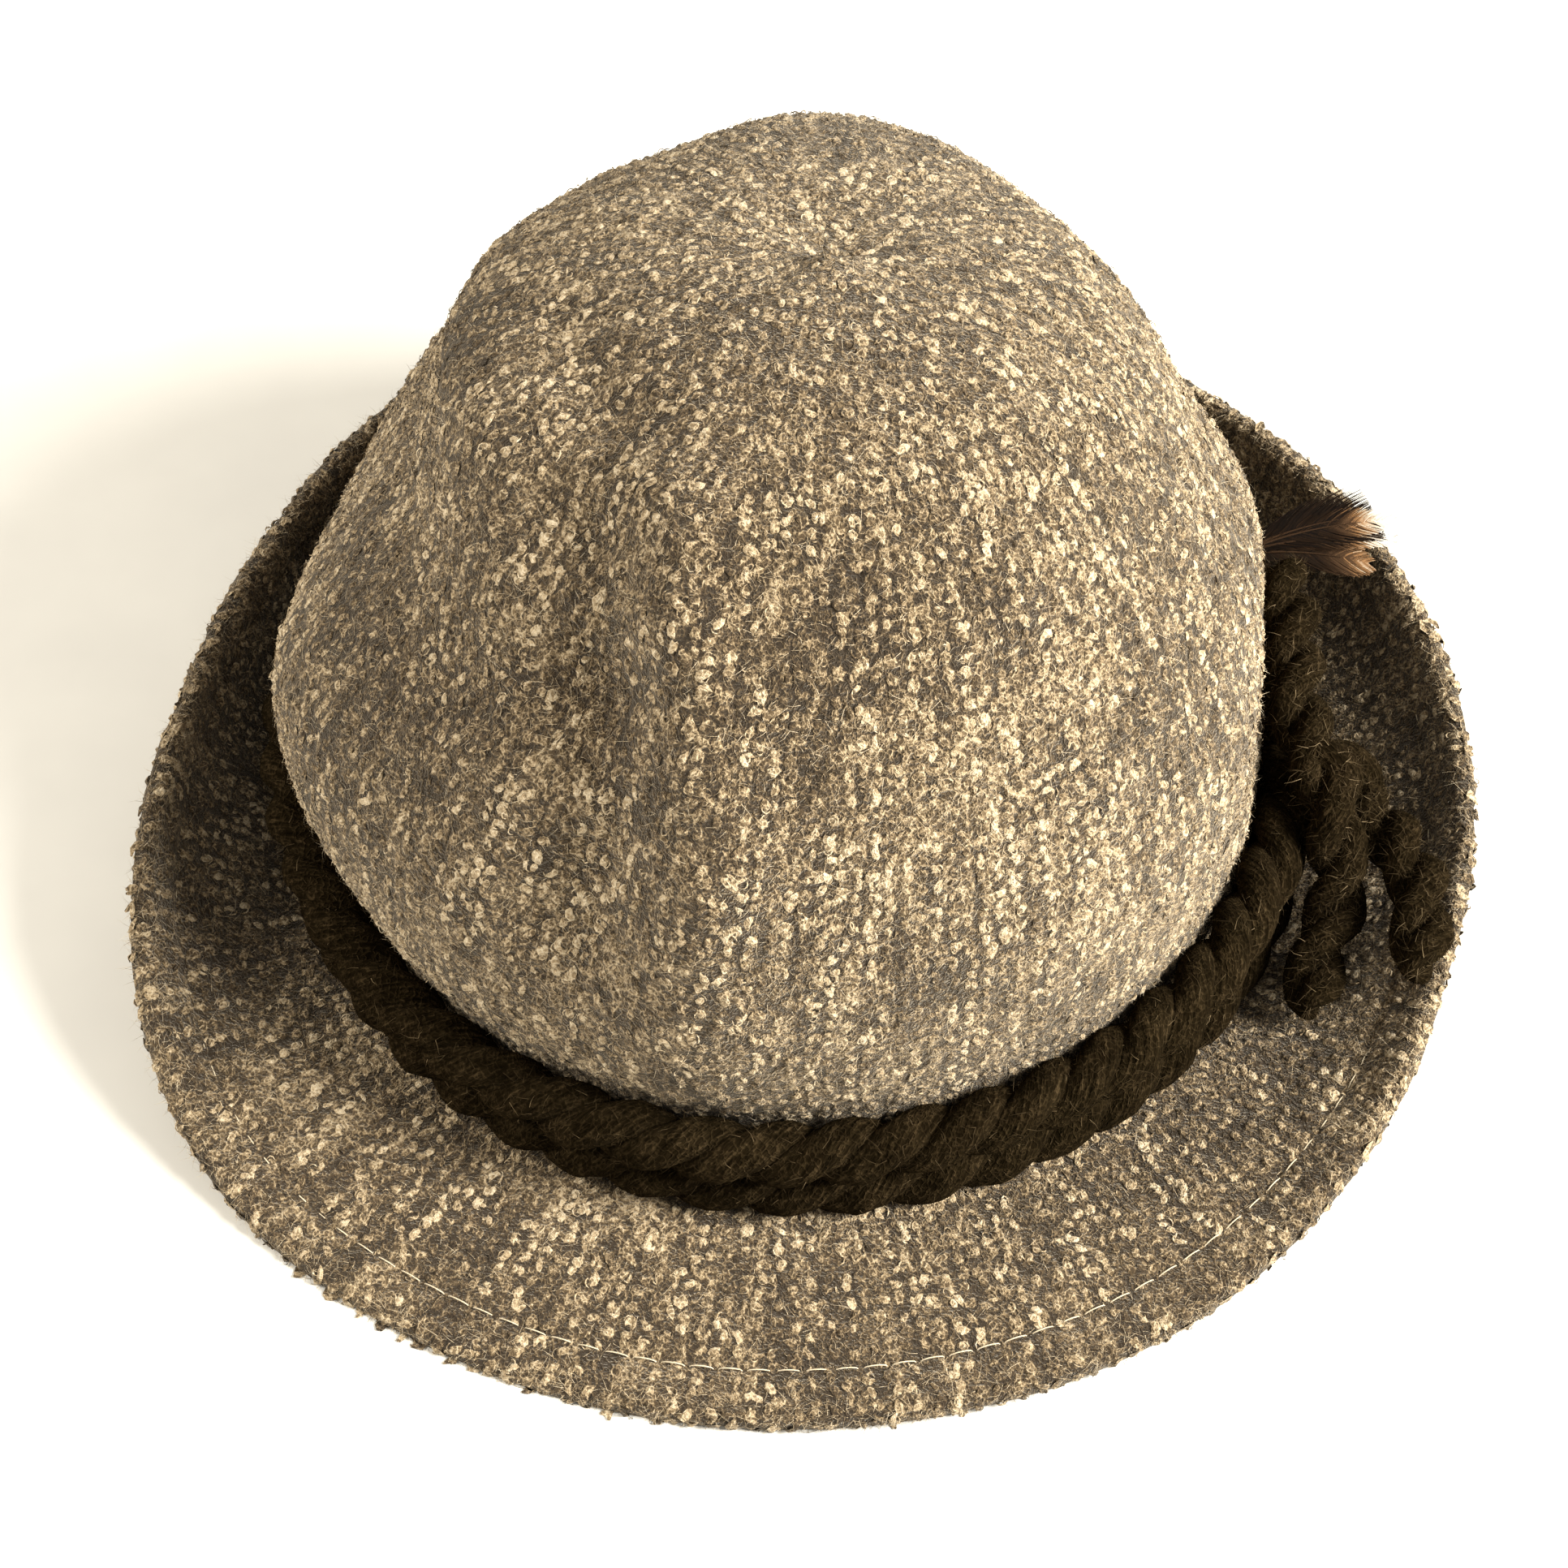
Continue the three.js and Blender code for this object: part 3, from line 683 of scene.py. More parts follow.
def curls(name, skin, places, side, rng):
    """One arched curl of strand at each place, laid round on the cloth."""
    angles, lengths, wales, shades = places
    count = len(angles)
    at, along, across, outward = frames_on(skin, angles, lengths, side)
    aside = rng.normal(0, 0.35 * MM, (2, count, 1))
    at = at + aside[0] * along + aside[1] * across
    radius = rng.uniform(0.75, 1.25, count) * CURL_RADIUS
    start = rng.uniform(0, TURN, count)
    sweep = rng.uniform(1.4, 3.6, count) * rng.choice([-1, 1], count)
    share = np.linspace(0, 1, CURL_STEPS)
    turn = start[:, None] + sweep[:, None] * share
    ring = np.cos(turn)[..., None] * along[:, None] + 0.78 * np.sin(turn)[..., None] * across[:, None]
    arch = np.sin(math.pi * share)
    height = (1.7 * MM - 0.75 * CURL_RADIUS) * rng.uniform(0.4, 1.0, count)[:, None]
    lift = -0.1 * MM + height * (0.35 + 0.65 * arch)
    centre = at[:, None] + ring * radius[:, None, None] + outward[:, None] * lift[..., None]
    lean = rng.uniform(-0.9, 0.9, count)[:, None, None]
    sides = unit(ring * np.cos(lean) + outward[:, None] * np.sin(lean))
    widths = CURL_WIDTH * rng.uniform(0.8, 1.3, count)[:, None] * (0.45 + 0.55 * arch)
    points, faces = ribbons(centre, widths, sides)
    piece = mesh_object(name, above_floor(points), faces, CURLS, "knit")
    tone = tones(at, wales, lengths, shades + rng.normal(0, 0.1, count))
    set_numbers(piece, "tone", np.repeat(tone, 2 * CURL_STEPS))


# Hairs: places of the points along one, and the tones of the knit's hairs.
HAIR_STEPS = np.linspace(0, 1, 3)
CROWN_HAIR_TONE = 0.82
BRIM_HAIR_TONE = 0.74


def hairs(name, frames, rng, material, slot, tone, long=(1.2, 3.8), wide=0.075):
    """Fine loose hairs that stand off a surface and bend over, rooted at its frames; sizes in mm."""
    at, along, across, outward = frames
    count = len(at)
    turn = rng.uniform(0, TURN, count)[:, None]
    flat = np.cos(turn) * along + np.sin(turn) * across
    other = unit(np.cross(flat, outward))
    length = rng.uniform(*long, count)[:, None, None] * MM
    t = HAIR_STEPS[None, :, None]
    bend = rng.uniform(-0.6, 0.6, count)[:, None, None]
    rise = rng.uniform(0.25, 0.95, count)[:, None, None]
    lying = flat[:, None] * t + other[:, None] * bend * t * t
    standing = outward[:, None] * rise * (t - 0.45 * t * t)
    centre = at[:, None] + (lying + standing) * length
    widths = wide * MM * (1.1 - HAIR_STEPS[None, :]) * np.ones((count, 1))
    points, faces = ribbons(centre, widths, np.repeat(other[:, None], len(HAIR_STEPS), axis=1))
    piece = mesh_object(name, above_floor(points), faces, material, slot)
    set_numbers(piece, "tone", np.repeat(rng.normal(tone, 0.12, count), 2 * len(HAIR_STEPS)))


# Crown: the cloth inside and out, its loops, curls and hairs.
CROWN_COLUMNS = 320
CROWN_ROWS = 112
LINING_ROWS = 16
CROWN_WALES = 192
CROWN_HAIRS = 18500


def crown_girth(climb):
    share = np.interp([climb], PROFILE_LENGTHS, PROFILE_SHARES)
    size = smooth_curve(CROWN_KEYS[:, [0, 1, 2]], share)[0]
    return math.pi * (size[1] * HALF_WIDTH + size[2] * HALF_LENGTH)


def make_crown():
    ring = np.arange(CROWN_COLUMNS) / CROWN_COLUMNS * TURN
    outer = np.linspace(0, 1, CROWN_ROWS + 1)[:-1] * CROWN_CLIMB
    inner = np.linspace(0, 1, LINING_ROWS + 1)[:-1] * CROWN_CLIMB
    skin = crown_skin(np.tile(ring, CROWN_ROWS), np.repeat(outer, CROWN_COLUMNS))
    lining = crown_lining(np.tile(ring, LINING_ROWS), np.repeat(inner[::-1], CROWN_COLUMNS))
    tips = [surface(np.zeros(1), np.array([CROWN_CLIMB])) for surface in (crown_skin, crown_lining)]
    points = np.vstack([skin, lining, *tips])
    rows = CROWN_ROWS + LINING_ROWS
    top = np.arange((CROWN_ROWS - 1) * CROWN_COLUMNS, CROWN_ROWS * CROWN_COLUMNS)
    quads = np.delete(grid_faces(rows, CROWN_COLUMNS, True), top, axis=0)
    fans = []
    for row, tip in ((CROWN_ROWS - 1, len(points) - 2), (CROWN_ROWS, len(points) - 1)):
        edge = np.arange(CROWN_COLUMNS) + row * CROWN_COLUMNS
        pair = [edge, np.roll(edge, -1)] if row < CROWN_ROWS else [np.roll(edge, -1), edge]
        fans.append(np.stack([*pair, np.full(CROWN_COLUMNS, tip)], axis=-1))
    faces = np.vstack([quads[:, [0, 1, 2]], quads[:, [0, 2, 3]], *fans])
    cloth = mesh_object("crown_cloth", points, faces, KNIT, "knit")
    rng = np.random.default_rng(21)
    turns = np.arctan2(points[:, 1], points[:, 0])
    wales = turns / TURN * LAST_WALE
    # The crown cloth's tones are lowered by painted shade for the gaps between the loops.
    set_numbers(cloth, "tone", tones(points, wales, points[:, 2] * 1.3, CROWN_CLOTH_PAINTED_SHADE))
    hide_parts("crown")
    crown_curls(rng)


def crown_curls(rng):
    places = knit_places(CROWN_CLIMB, crown_girth, CROWN_WALES, rng)
    loops("crown_loops_1", crown_skin, places, 1, rng)
    loops("crown_loops_2", crown_skin, places, 1, rng, SECOND_LOOPS_DOWN)
    curls("crown_curls", crown_skin, places, 1, rng)
    climbs = CROWN_CLIMB * np.sqrt(rng.uniform(0, 1, CROWN_HAIRS))
    roots = frames_on(crown_skin, rng.uniform(0, TURN, CROWN_HAIRS), CROWN_CLIMB - climbs, 1)
    hairs("crown_hairs", roots, rng, CURLS, "knit", CROWN_HAIR_TONE)


# Brim: one skin over the upper face, the lip and the underside.
BRIM_COLUMNS = 440
BRIM_ROWS = 58
BRIM_WALES = 236
BRIM_HAIRS = 14000


def make_brim():
    ring = np.arange(BRIM_COLUMNS) / BRIM_COLUMNS * TURN
    loop = brim_loop(ring)
    rows = [over(ring, out, COLLAR_HEIGHT) + SHIFT for out in (-WALL, 0)]
    rows += [brim_skin(ring, share * loop) for share in np.linspace(0, 1, BRIM_ROWS)]
    rows.append(over(ring, -WALL, -WALL) + SHIFT)
    points = above_floor(np.vstack(rows))
    faces = grid_faces(len(rows), BRIM_COLUMNS, True)[:, ::-1]
    cloth = mesh_object("brim_cloth", points, faces, KNIT, "knit")
    rng = np.random.default_rng(22)
    turns = np.arctan2(points[:, 1], points[:, 0])
    reach = np.hypot(points[:, 0], points[:, 1])
    wales = turns / TURN * LAST_BRIM_CLOTH_WALE
    # The brim cloth's tones are lowered by painted shade for the gaps between the loops.
    set_numbers(cloth, "tone", tones(points, wales, reach, BRIM_CLOTH_PAINTED_SHADE))
    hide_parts("brim")
    brim_curls(rng)


def brim_curls(rng):
    flat = float(WIDTH_TABLE.mean()) - LIP
    loop = 2 * flat + math.pi * LIP
    girth = lambda length: TURN * HALF_WIDTH
    angles, ways, wales, shades = knit_places(loop, girth, BRIM_WALES, rng)
    places = np.stack([angles, ways / loop * brim_loop(angles), wales, shades])
    upper = ways < flat + math.pi * LIP * 0.7
    loops("brim_loops_1", brim_skin, places[:, upper], -1, rng)
    loops("brim_loops_2", brim_skin, places[:, upper], -1, rng, SECOND_LOOPS_DOWN)
    curls("brim_curls", brim_skin, places[:, upper], -1, rng)
    loops("brim_loops_under", brim_skin, places[:, ~upper], -1, rng)
    turns = rng.uniform(0, TURN, BRIM_HAIRS)
    near_rim = rng.normal(0.49, 0.035, BRIM_HAIRS)
    at_rim = rng.uniform(0, 1, BRIM_HAIRS) < 0.5
    places = np.where(at_rim, near_rim, rng.uniform(0.05, 0.7, BRIM_HAIRS))
    roots = frames_on(brim_skin, turns, places * brim_loop(turns), -1)
    hairs("brim_hairs", roots, rng, CURLS, "knit", BRIM_HAIR_TONE)


make_crown()
make_brim()


# Cord: places beside the wall, on the brim and on its own lower turns, seen in upright cuts.
def wall_lines(angles):
    band = over(angles, 0, 0)
    reach = np.hypot(band[:, 0], band[:, 1])
    outs = [np.zeros(len(angles)), np.zeros(len(angles))]
    ups = [np.zeros(len(angles)), np.full(len(angles), COLLAR_HEIGHT)]
    for share in np.linspace(0, 0.6, 25):
        p = crown_surface(np.full(len(angles), share), angles, 0)
        outs.append(np.hypot(p[:, 0], p[:, 1]) - reach)
        ups.append(p[:, 2] - band[:, 2])
    return np.stack(outs, axis=1), np.stack(ups, axis=1)


def distance_to(lines, out, up):
    outs, ups = lines
    du, dv = np.diff(outs, axis=1), np.diff(ups, axis=1)
    ru, rv = out[:, None] - outs[:, :-1], up[:, None] - ups[:, :-1]
    share = np.clip((ru * du + rv * dv) / np.maximum(du * du + dv * dv, 1e-15), 0, 1)
    return np.hypot(ru - share * du, rv - share * dv).min(axis=1)


HALVINGS = 22


def settle(low, high, clear):
    """The values between low and high where clear() first holds."""
    for _ in range(HALVINGS):
        middle = (low + high) / 2
        held = clear(middle)
        high = np.where(held, middle, high)
        low = np.where(held, low, middle)
    return high


def turns_at(angles):
    """Out and up of the lower turn, the upper turn and a strand on top of them."""
    wall = wall_lines(angles)
    brim = brim_lines(angles)[:2]
    none = np.zeros(len(angles))
    far = np.full(len(angles), HALF_WIDTH)
    beside = lambda up: settle(none, far, lambda out: (out > 0) & (distance_to(wall, out, up) >= REACH))
    up = settle(none, far, lambda v: distance_to(brim, beside(v), v) >= REACH)
    places = [(beside(up), up)]
    for _ in range(2):
        out, under = places[-1]
        free = lambda v: np.hypot(beside(v) - out, v - under) >= CORD_DIAMETER + GAP
        up = settle(under, under + 2 * CORD_DIAMETER, free)
        places.append((beside(up), up))
    return places


def tube(centres, outward, radii, sides, closed):
    """A tube's points, faces, surface map and outward directions; its seam is turned inwards."""
    if closed:
        tangents = unit(np.roll(centres, -1, axis=0) - np.roll(centres, 1, axis=0))
    else:
        tangents = unit(np.gradient(centres, axis=0))
    normals = unit(outward - tangents * (outward * tangents).sum(axis=1, keepdims=True))
    others = np.cross(tangents, normals)
    a = (np.arange(sides) / sides - 0.5) * TURN
    ring = np.cos(a)[None, :, None] * normals[:, None] + np.sin(a)[None, :, None] * others[:, None]
    points = (centres[:, None] + ring * radii[:, None, None]).reshape(-1, 3)
    faces = grid_faces(len(centres), sides, closed)
    around = np.tile(a * TAIL_PLY, len(centres))
    surface_map = np.stack([around, np.repeat(lengths_along(centres), sides)], axis=-1)
    return points, faces, surface_map, ring.reshape(-1, 3)


def cord_material():
    """Soft wool ply: fibres laid along it with a slight turn, felted over."""
    shader = Shader("wool_cord")
    laid = shader.add("ShaderNodeTexCoord").outputs["UV"]
    mapping = shader.add("ShaderNodeMapping", {"Vector": laid})
    mapping.inputs["Rotation"].default_value = (0, 0, 0.5)
    mapping.inputs["Scale"].default_value = (1, 0.2, 1)
    fibres = shader.noise(mapping.outputs[0], 0.8 * MM, 4.0, 0.7)
    felt = shader.strands(shader.place(), 1.3 * MM)
    patches = shader.noise(shader.place(), 6 * MM, 3.0)
    tone = shader.math("ADD", shader.math("MULTIPLY", fibres, 0.9), shader.math("MULTIPLY", felt, 0.16))
    tone = shader.math("ADD", tone, shader.math("MULTIPLY", patches, 0.3))
    shader.paint(tone, [
        (0.42, (0.0017, 0.0012, 0.0005)),
        (0.6, (0.0072, 0.0048, 0.0021)),
        (0.74, (0.0170, 0.0115, 0.0052)),
        (0.9, (0.046, 0.031, 0.015)),
    ])
    height = shader.math("ADD", fibres, shader.math("MULTIPLY", felt, 0.25))
    shader.bump(height, 1.5 * MM)
    return shader.finish(1.0, 0.02, 0.5, (0.5, 0.36, 0.2), 0.0)


def cord_hair_material():
    shader = Shader("cord_hairs")
    shader.paint(shader.tone(), [
        (0.0, (0.006, 0.004, 0.002)),
        (0.5, (0.044, 0.031, 0.016)),
        (1.0, (0.34, 0.25, 0.14)),
    ])
    return shader.finish(0.9, 0.0, gloss=0.0)


CORD = cord_material()
CORD_HAIRS = cord_hair_material()
PLY_SIDES = 16
THREAD_SIDES = 6


def plies(centres, directions, others, twist, ends, radius, closed):
    """Both plies of a stretch of cord: each a tube that winds round the cord's centre."""
    parts = []
    for ply in (0, math.pi):
        away = np.cos(twist + ply)[:, None] * directions + np.sin(twist + ply)[:, None] * others
        swell = 1 + 0.04 * noise(centres + ply, 9 * MM, 31)
        line = centres + away * ((CORD_RADIUS - radius) * ends)[:, None]
        parts.append(tube(line, away, radius * ends * swell, PLY_SIDES, closed))
    return parts


def cord_piece(name, parts, node, rng, hair_count):
    points, faces = joined(parts)
    points += SHIFT
    outward = np.vstack([p[3] for p in parts])
    relief = 0.3 * MM * noise(points, 3 * MM, 33) + 0.16 * MM * noise(points, 1.2 * MM, 34)
    points += outward * relief[:, None]
    piece = mesh_object(name, points, faces, CORD, "cord")
    set_map(piece, np.vstack([p[2] for p in parts]))
    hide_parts(node)
    roots = rng.integers(0, len(points), hair_count)
    at, out = points[roots], outward[roots]
    along = unit(np.roll(points, -PLY_SIDES, axis=0)[roots] - at)
    along = unit(along - out * (along * out).sum(axis=1, keepdims=True))
    frames = (at, along, np.cross(out, along), out)
    hairs(name + "_hairs", frames, rng, CORD_HAIRS, "cord", 0.42, (1.0, 3.4), 0.11)


# Places round the hat where a turn is seated, steps of its tubes, and hairs on a turn and the tie.
SEAT_STEPS = 180
CORD_STEPS = 520
TURN_HAIRS = 6000
TIE_HAIRS = 9000


def make_turns(rng):
    angles = np.arange(SEAT_STEPS) / SEAT_STEPS * TURN
    places = turns_at(angles)
    twists = round(math.pi * (HALF_WIDTH + HALF_LENGTH + 2 * CORD_DIAMETER) / CORD_TWIST)
    fine = np.arange(CORD_STEPS) / CORD_STEPS * TURN
    for name, (out, up) in zip(("lower", "upper"), places):
        out = np.interp(fine, angles, out, period=TURN)
        up = np.interp(fine, angles, up, period=TURN)
        centres = over(fine, out, up)
        away = unit(np.stack([np.cos(fine), np.sin(fine), np.zeros(len(fine))], axis=-1))
        upward = np.tile([0.0, 0.0, 1.0], (len(fine), 1))
        parts = plies(centres, away, upward, fine * twists, np.ones(len(fine)), BAND_PLY, True)
        cord_piece(f"cord_{name}_plies", parts, f"cord_{name}", rng, TURN_HAIRS)


def on_turns(rows):
    turn, out, up = np.array(rows, float).T
    angles = np.radians(turn)
    stub = turns_at(angles)[2]
    return over(angles, stub[0] + out * CORD_DIAMETER, stub[1] + up * CORD_DIAMETER)


def on_brim(rows):
    turn, out, lift = np.array(rows, float).T
    angles = np.radians(turn)
    brim = brim_lines(angles)[:2]
    out = out * CORD_DIAMETER
    none = np.zeros(len(angles))
    clear = lambda v: (v > 0) & (distance_to(brim, out, v) >= REACH)
    up = settle(none, np.full(len(angles), HALF_WIDTH), clear)
    return over(angles, out, up + lift * CORD_DIAMETER)


# A free stretch of cord: steps of its rough curve, and the length of one step of its tubes.
ROUTE_STEPS = 300
STRAND_STEP = 0.9 * MM


def strand(route, twist_length, start_twist=0.0):
    """A free stretch of the cord along a route, its plies closing to a rounded end."""
    rough = smooth_curve(route, np.linspace(0, 1, ROUTE_STEPS))
    lengths = lengths_along(rough)
    steps = int(lengths[-1] / STRAND_STEP)
    places = np.linspace(0, 1, steps) * lengths[-1]
    centres = np.stack([np.interp(places, lengths, rough[:, k]) for k in range(3)], axis=-1)
    tangents = unit(np.gradient(centres, axis=0))
    direction = unit(np.cross(tangents[0], [0.0, 0.0, 1.0]))
    directions = []
    for tangent in tangents:
        direction = unit(direction - tangent * (direction @ tangent))
        directions.append(direction)
    directions = np.array(directions)
    others = np.cross(tangents, directions)
    left = np.minimum(places, lengths[-1] - places) / CORD_RADIUS
    ends = np.sqrt(np.clip(1 - (1 - np.clip(left, 0, 1)) ** 2, 0.0004, 1))
    twist = start_twist + places / twist_length * TURN
    return plies(centres, directions, others, twist, ends, TAIL_PLY, False)


def make_tie(rng):
    front = strand(np.vstack([on_turns(STUB_ROUTE), on_brim(TAIL_FRONT)]), TAIL_TWIST)
    side = strand(np.vstack([on_turns(SECOND_ROUTE), on_brim(TAIL_SIDE)]), TAIL_TWIST, 1.2)
    wrap = strand(on_turns(WRAP_ROUTE), TAIL_TWIST, 0.6)
    cord_piece("cord_tie_plies", front + side + wrap, "cord_tie", rng, TIE_HAIRS)


# Hem stitching: straight stitches in the groove round the brim. A stitch's points along its length,
# how deep each lies, and how far the line is sunk in the cloth, less in front.
STITCH_PLACES = np.array([0, 0.08, 0.35, 0.65, 0.92, 1])
STITCH_DEPTHS = np.array([0.7, 0.1, -0.28, -0.28, 0.1, 0.7]) * MM
STITCH_SUNK = 1.3 * MM
FRONT_RAISED = 1.25 * MM


def stitch_material():
    shader = Shader("hem_thread")
    fibres = shader.noise(shader.place(), 0.3 * MM, 2.0)
    shader.paint(fibres, [(0.3, (0.40, 0.33, 0.21)), (0.7, (0.66, 0.57, 0.42))])
    return shader.finish(0.7, 0.1)


def make_stitches():
    around = lengths_along(brim_surface(RING_ANGLES, WIDTH_TABLE - STITCH_LINE, np.zeros(RING_STEPS)))
    count = int(around[-1] / STITCH_PITCH)
    steps = len(STITCH_PLACES)
    upward = np.tile([0.0, 0.0, 1.0], (steps, 1))
    parts = []
    for k in range(count):
        ends = (k + STITCH_PLACES * STITCH_LENGTH / STITCH_PITCH) / count * around[-1]
        angles = np.interp(ends, around, RING_ANGLES)
        widths = np.interp(angles, RING_ANGLES, WIDTH_TABLE)
        sunk = STITCH_SUNK - FRONT_RAISED * np.clip(-1.9 * np.sin(angles) - 0.75, 0, 1)
        centres = brim_surface(angles, widths - STITCH_LINE, STITCH_DEPTHS + sunk)
        parts.append(tube(centres + SHIFT, upward, np.full(steps, STITCH_RADIUS), THREAD_SIDES, False))
    mesh_object("hem_stitches", *joined(parts), stitch_material(), "knit")


# Plume: feathers fanned out of one head, each a quill with barbs.
PLUME_LENGTH = 33 * MM
PLUME_WIDTH = 11 * MM
PLUME_HEAD = 5.6 * MM
PLUME_TURN = 20.5
PLUME_ROLL = 38
PLUME_PITCH = 22
PLUME_YAW = -12
# Feather: spread and raise in degrees, length and width shares, tones at the root, middle and tip.
PLUME_FEATHERS = [
    (3, -4, 0.84, 0.8, (0.02, 0.12, 0.62)),
    (12, 0, 1.0, 0.62, (0.02, 0.2, 1.05)),
    (18, 3, 1.02, 0.7, (0.02, 0.16, 1.05)),
    (22, 6, 0.86, 1.3, (0.0, 0.0, 0.1)),
]
FEATHER_OUTLINE = [0.12, 0.5, 0.86, 1.0, 0.9, 0.6, 0.22]
FEATHER_DROOP = 0.12
FEATHER_BEND = 0.2
TONE_PLACES = [0, 0.62, 0.95]
# Barbs of a feather on its two sides, points along one, its width, and points along the quill.
BARBS = 260
BARB_STEPS = 6
BARB_WIDTH = 0.34 * MM
QUILL_STEPS = 12
QUILL_LENGTH = 0.8
QUILL_TONE = 0.3
# Down at the plume's foot.
DOWN_BARBS = 90
DOWN_STEPS = 5
DOWN_WIDTH = 0.2 * MM
DOWN_TONE = 0.2


def turned(points, axis, degrees):
    a = math.radians(degrees)
    i, j = [(1, 2), (2, 0), (0, 1)][axis]
    result = points.copy()
    result[..., i] = points[..., i] * math.cos(a) - points[..., j] * math.sin(a)
    result[..., j] = points[..., i] * math.sin(a) + points[..., j] * math.cos(a)
    return result


def feather_material():
    shader = Shader("feather")
    tone = shader.tone()
    fibres = shader.noise(shader.place(), 0.25 * MM, 2.0)
    tone = shader.math("ADD", tone, shader.math("MULTIPLY", shader.math("SUBTRACT", fibres, 0.5), 0.25))
    shader.paint(tone, [
        (0.0, (0.006, 0.004, 0.003)),
        (0.25, (0.026, 0.014, 0.007)),
        (0.5, (0.085, 0.047, 0.024)),
        (0.64, (0.33, 0.175, 0.075)),
        (0.76, (0.56, 0.45, 0.32)),
        (1.0, (0.92, 0.88, 0.80)),
    ])
    return shader.finish(0.7, 0.0, gloss=0.08)


def feather_barbs(feather, rng):
    """Barbs of one feather as strips on both sides of its quill, and their tones."""
    spread, lifted, length_share, width_share, feather_tones = feather
    length = PLUME_LENGTH * length_share
    half = PLUME_WIDTH * width_share / 2
    t = np.tile(np.linspace(0.03, 0.98, BARBS // 2), 2) + rng.uniform(-0.004, 0.004, BARBS)
    side = np.repeat([-1.0, 1.0], BARBS // 2)[:, None]
    outline = np.interp(t, np.linspace(0, 1, len(FEATHER_OUTLINE)), FEATHER_OUTLINE)
    reach = (outline * half * rng.uniform(0.85, 1.06, BARBS))[:, None]
    u = np.linspace(0, 1, BARB_STEPS)[None, :]
    x = t[:, None] * length + reach * (1.1 * u + 0.5 * u * u)
    fall = length * (x / length) ** 2
    y = side * reach * (u - 0.12 * u * u) - FEATHER_BEND * fall
    z = 0.5 * MM * (1 - np.cos(u * 2)) * rng.uniform(-0.6, 1, (BARBS, 1)) - FEATHER_DROOP * fall
    x = np.minimum(x, length * 1.04)
    across = np.hstack([np.full((BARBS, 1), 0.8), -0.6 * side, np.zeros((BARBS, 1))])
    across = np.repeat(across[:, None], BARB_STEPS, axis=1)
    widths = BARB_WIDTH * (1.15 - 0.8 * u) * np.ones((BARBS, 1))
    barbs = ribbons(np.stack([x, y, z], axis=-1), widths, across)
    mixed = np.interp(np.clip(x / length, 0, 1), TONE_PLACES, feather_tones)
    tone = np.repeat((mixed + rng.normal(0, 0.06, (BARBS, 1))).reshape(-1), 2)
    quill_x = np.linspace(0, QUILL_LENGTH, QUILL_STEPS) * length
    fall = length * (quill_x / length) ** 2
    line = np.stack([quill_x, -FEATHER_BEND * fall, 0.12 * MM - FEATHER_DROOP * fall], axis=-1)
    upward = np.tile([0.0, 0.0, 1.0], (QUILL_STEPS, 1))
    quill = tube(line, upward, np.linspace(0.4, 0.06, QUILL_STEPS) * MM, THREAD_SIDES, False)
    points, faces = joined([barbs, quill])
    tone = np.concatenate([tone, np.full(len(quill[0]), QUILL_TONE)])
    return turned(turned(points, 2, spread), 0, lifted), faces, tone


def plume_down(rng):
    """Short loose barbs all round the plume's foot, and their tones."""
    direction = unit(rng.normal(0, 1, (DOWN_BARBS, 3)) * [0.5, 1, 0.8] + [0.9, 0, 0.1])
    u = np.linspace(0, 1, DOWN_STEPS)[None, :, None]
    centre = direction[:, None] * u * rng.uniform(5, 13, (DOWN_BARBS, 1, 1)) * MM
    centre[..., 2] -= 2.5 * MM * u[..., 0] ** 2
    across = unit(np.cross(direction, [0.0, 0.3, 1.0]))
    widths = DOWN_WIDTH * (1.2 - u[..., 0]) * np.ones((DOWN_BARBS, 1))
    points, faces = ribbons(centre, widths, np.repeat(across[:, None], DOWN_STEPS, axis=1))
    return points, faces, np.full(len(points), DOWN_TONE)


def make_plume(rng):
    parts = [feather_barbs(feather, rng) for feather in PLUME_FEATHERS]
    parts.append(plume_down(rng))
    points, faces = joined(parts)
    for axis, degrees in ((0, PLUME_ROLL), (1, -PLUME_PITCH), (2, PLUME_YAW)):
        points = turned(points, axis, degrees)
    angles = np.radians([PLUME_TURN])
    _, high, _ = turns_at(angles)
    wall = wall_lines(angles)
    reach = PLUME_HEAD / 2 + GAP
    up = high[1] + CORD_RADIUS + reach
    clear = lambda v: (v > 0) & (distance_to(wall, v, up) >= reach)
    out = settle(np.zeros(1), np.full(1, HALF_WIDTH), clear)
    points = points + over(angles, out, up)[0] + SHIFT
    piece = mesh_object("plume_feathers", points, faces, feather_material(), "feather")
    set_numbers(piece, "tone", np.concatenate([p[2] for p in parts]))
    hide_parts("plume")


make_turns(np.random.default_rng(23))
make_tie(np.random.default_rng(24))
make_stitches()
make_plume(np.random.default_rng(25))


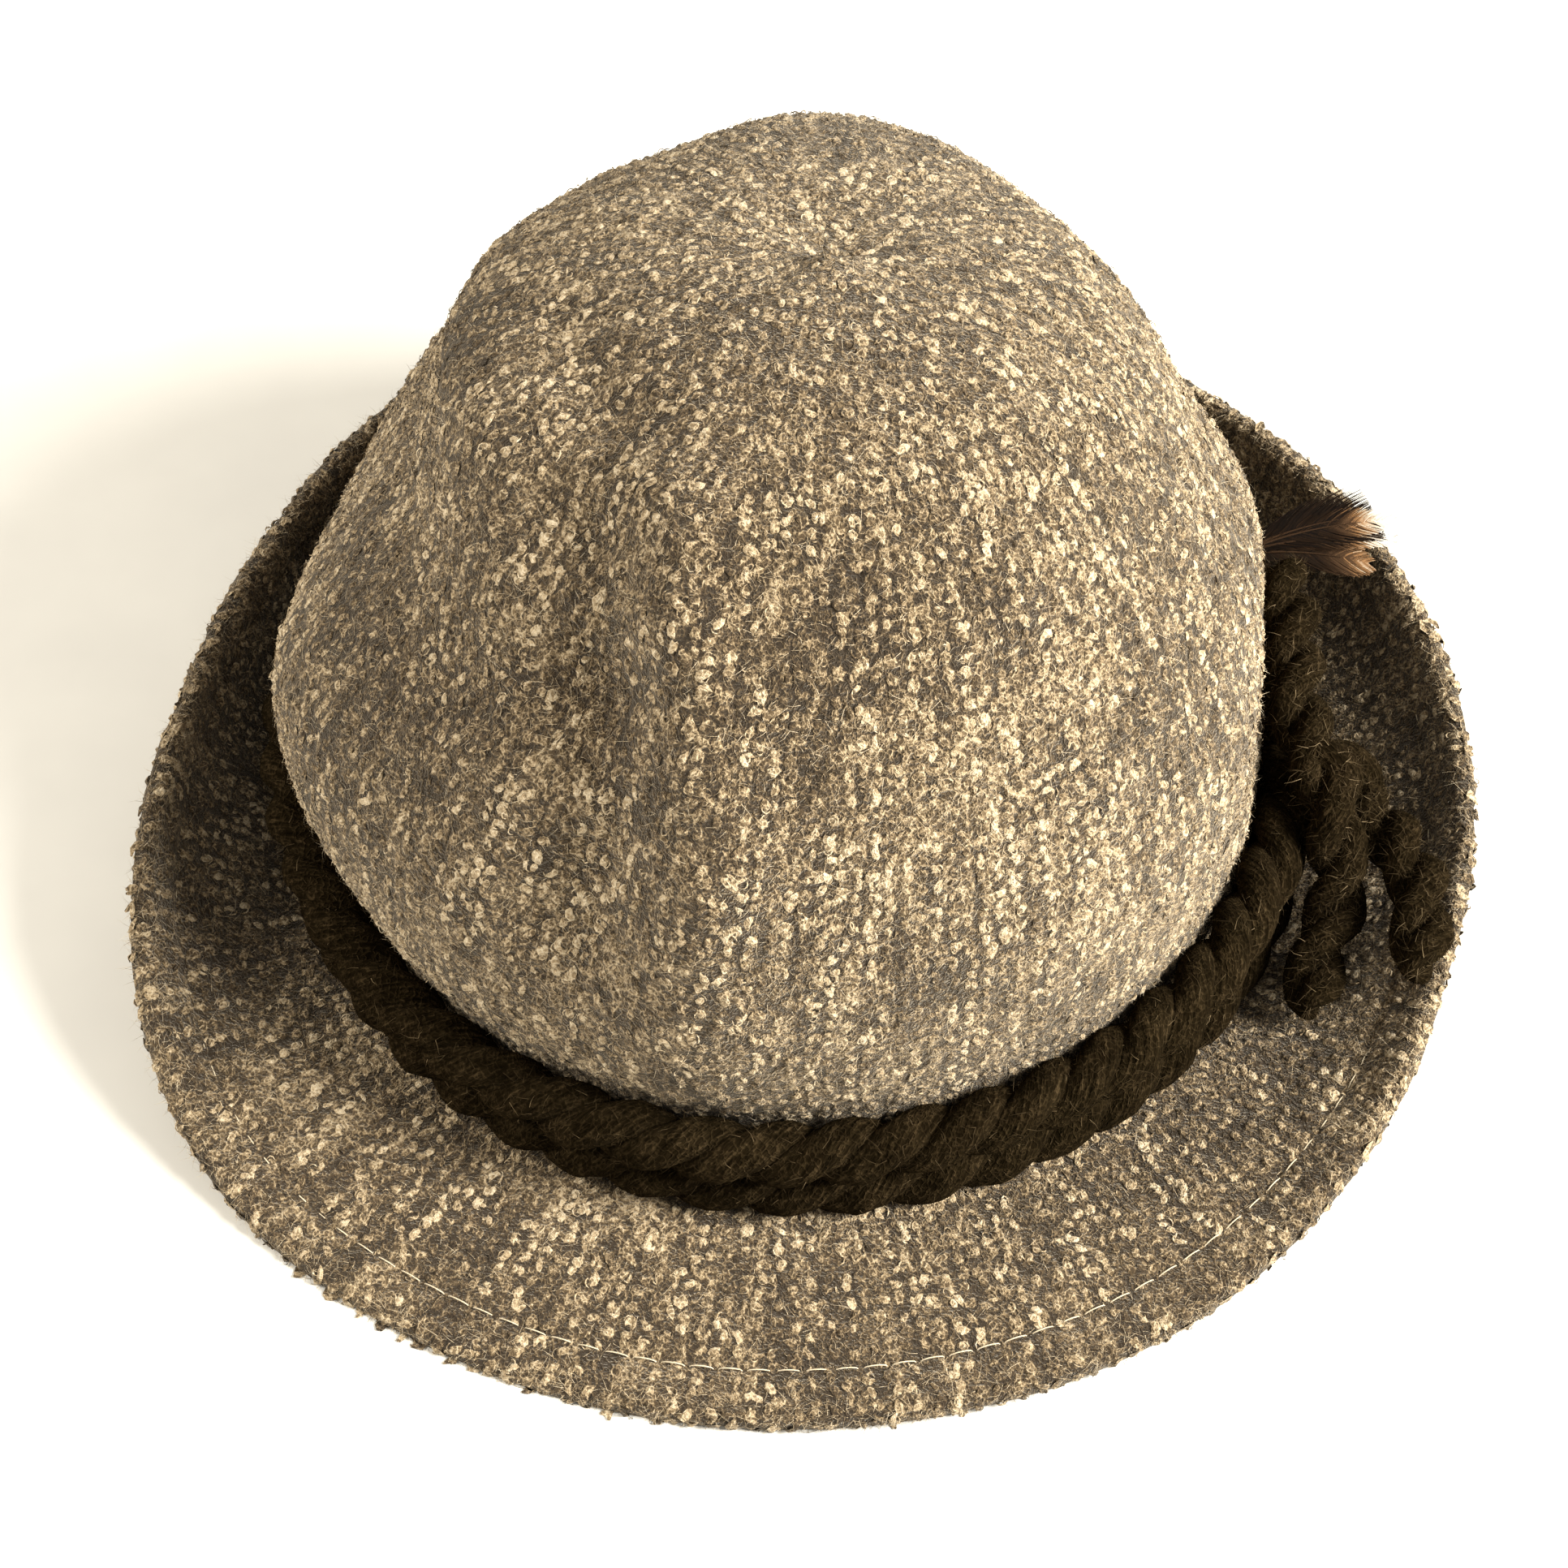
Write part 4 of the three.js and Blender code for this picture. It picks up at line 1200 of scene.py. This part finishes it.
# Stage: a pale floor, a warm pale surround, and two large soft lights: a strong one from the right
# and in front, and a weaker one from the left.
FLOOR_HALF = 3.0
FLOOR_DROP = 0.1 * MM
LIGHT_SIZE = 0.6
WINDOW_PLACE = (1.0, -0.36, 0.82)
WINDOW_AIM = (0, 0, 0.05)
WINDOW_POWER = 58
FILL_PLACE = (-1.15, 0.0, 0.75)
FILL_AIM = (0, 0, 0.07)
FILL_POWER = 20
SURROUND_STRENGTH = 0.52


def floor_material():
    shader = Shader("pale_floor")
    grain = shader.noise(shader.place(), 30 * MM, 3.0)
    shader.paint(grain, [(0.3, (0.74, 0.725, 0.675)), (0.7, (0.70, 0.685, 0.64))])
    return shader.finish(0.9, 0.0)


def add_stage():
    mesh = bpy.data.meshes.new("floor")
    ends = [(-1, -1), (1, -1), (1, 1), (-1, 1)]
    corners = [(x * FLOOR_HALF, y * FLOOR_HALF, -FLOOR_DROP) for x, y in ends]
    mesh.from_pydata(corners, [], [(0, 1, 2, 3)])
    mesh.materials.append(floor_material())
    floor = bpy.data.objects.new("floor", mesh)
    bpy.context.scene.collection.objects.link(floor)


def add_light(name, place, aim, power, color):
    light = bpy.data.lights.new(name, "AREA")
    light.shape = "DISK"
    light.size = LIGHT_SIZE
    light.energy = power
    light.color = color
    lamp = bpy.data.objects.new(name, light)
    bpy.context.scene.collection.objects.link(lamp)
    lamp.location = place
    lamp.rotation_euler = (Vector(aim) - Vector(place)).to_track_quat("-Z", "Y").to_euler()


def add_surround():
    world = bpy.data.worlds.new("surround")
    world.use_nodes = True
    background = world.node_tree.nodes["Background"]
    background.inputs["Color"].default_value = (1.0, 0.95, 0.87, 1)
    background.inputs["Strength"].default_value = SURROUND_STRENGTH
    bpy.context.scene.world = world


add_stage()
add_surround()
add_light("window", WINDOW_PLACE, WINDOW_AIM, WINDOW_POWER, (1.0, 0.97, 0.91))
add_light("fill", FILL_PLACE, FILL_AIM, FILL_POWER, (1.0, 0.94, 0.84))
bpy.context.scene.view_settings.view_transform = "Standard"
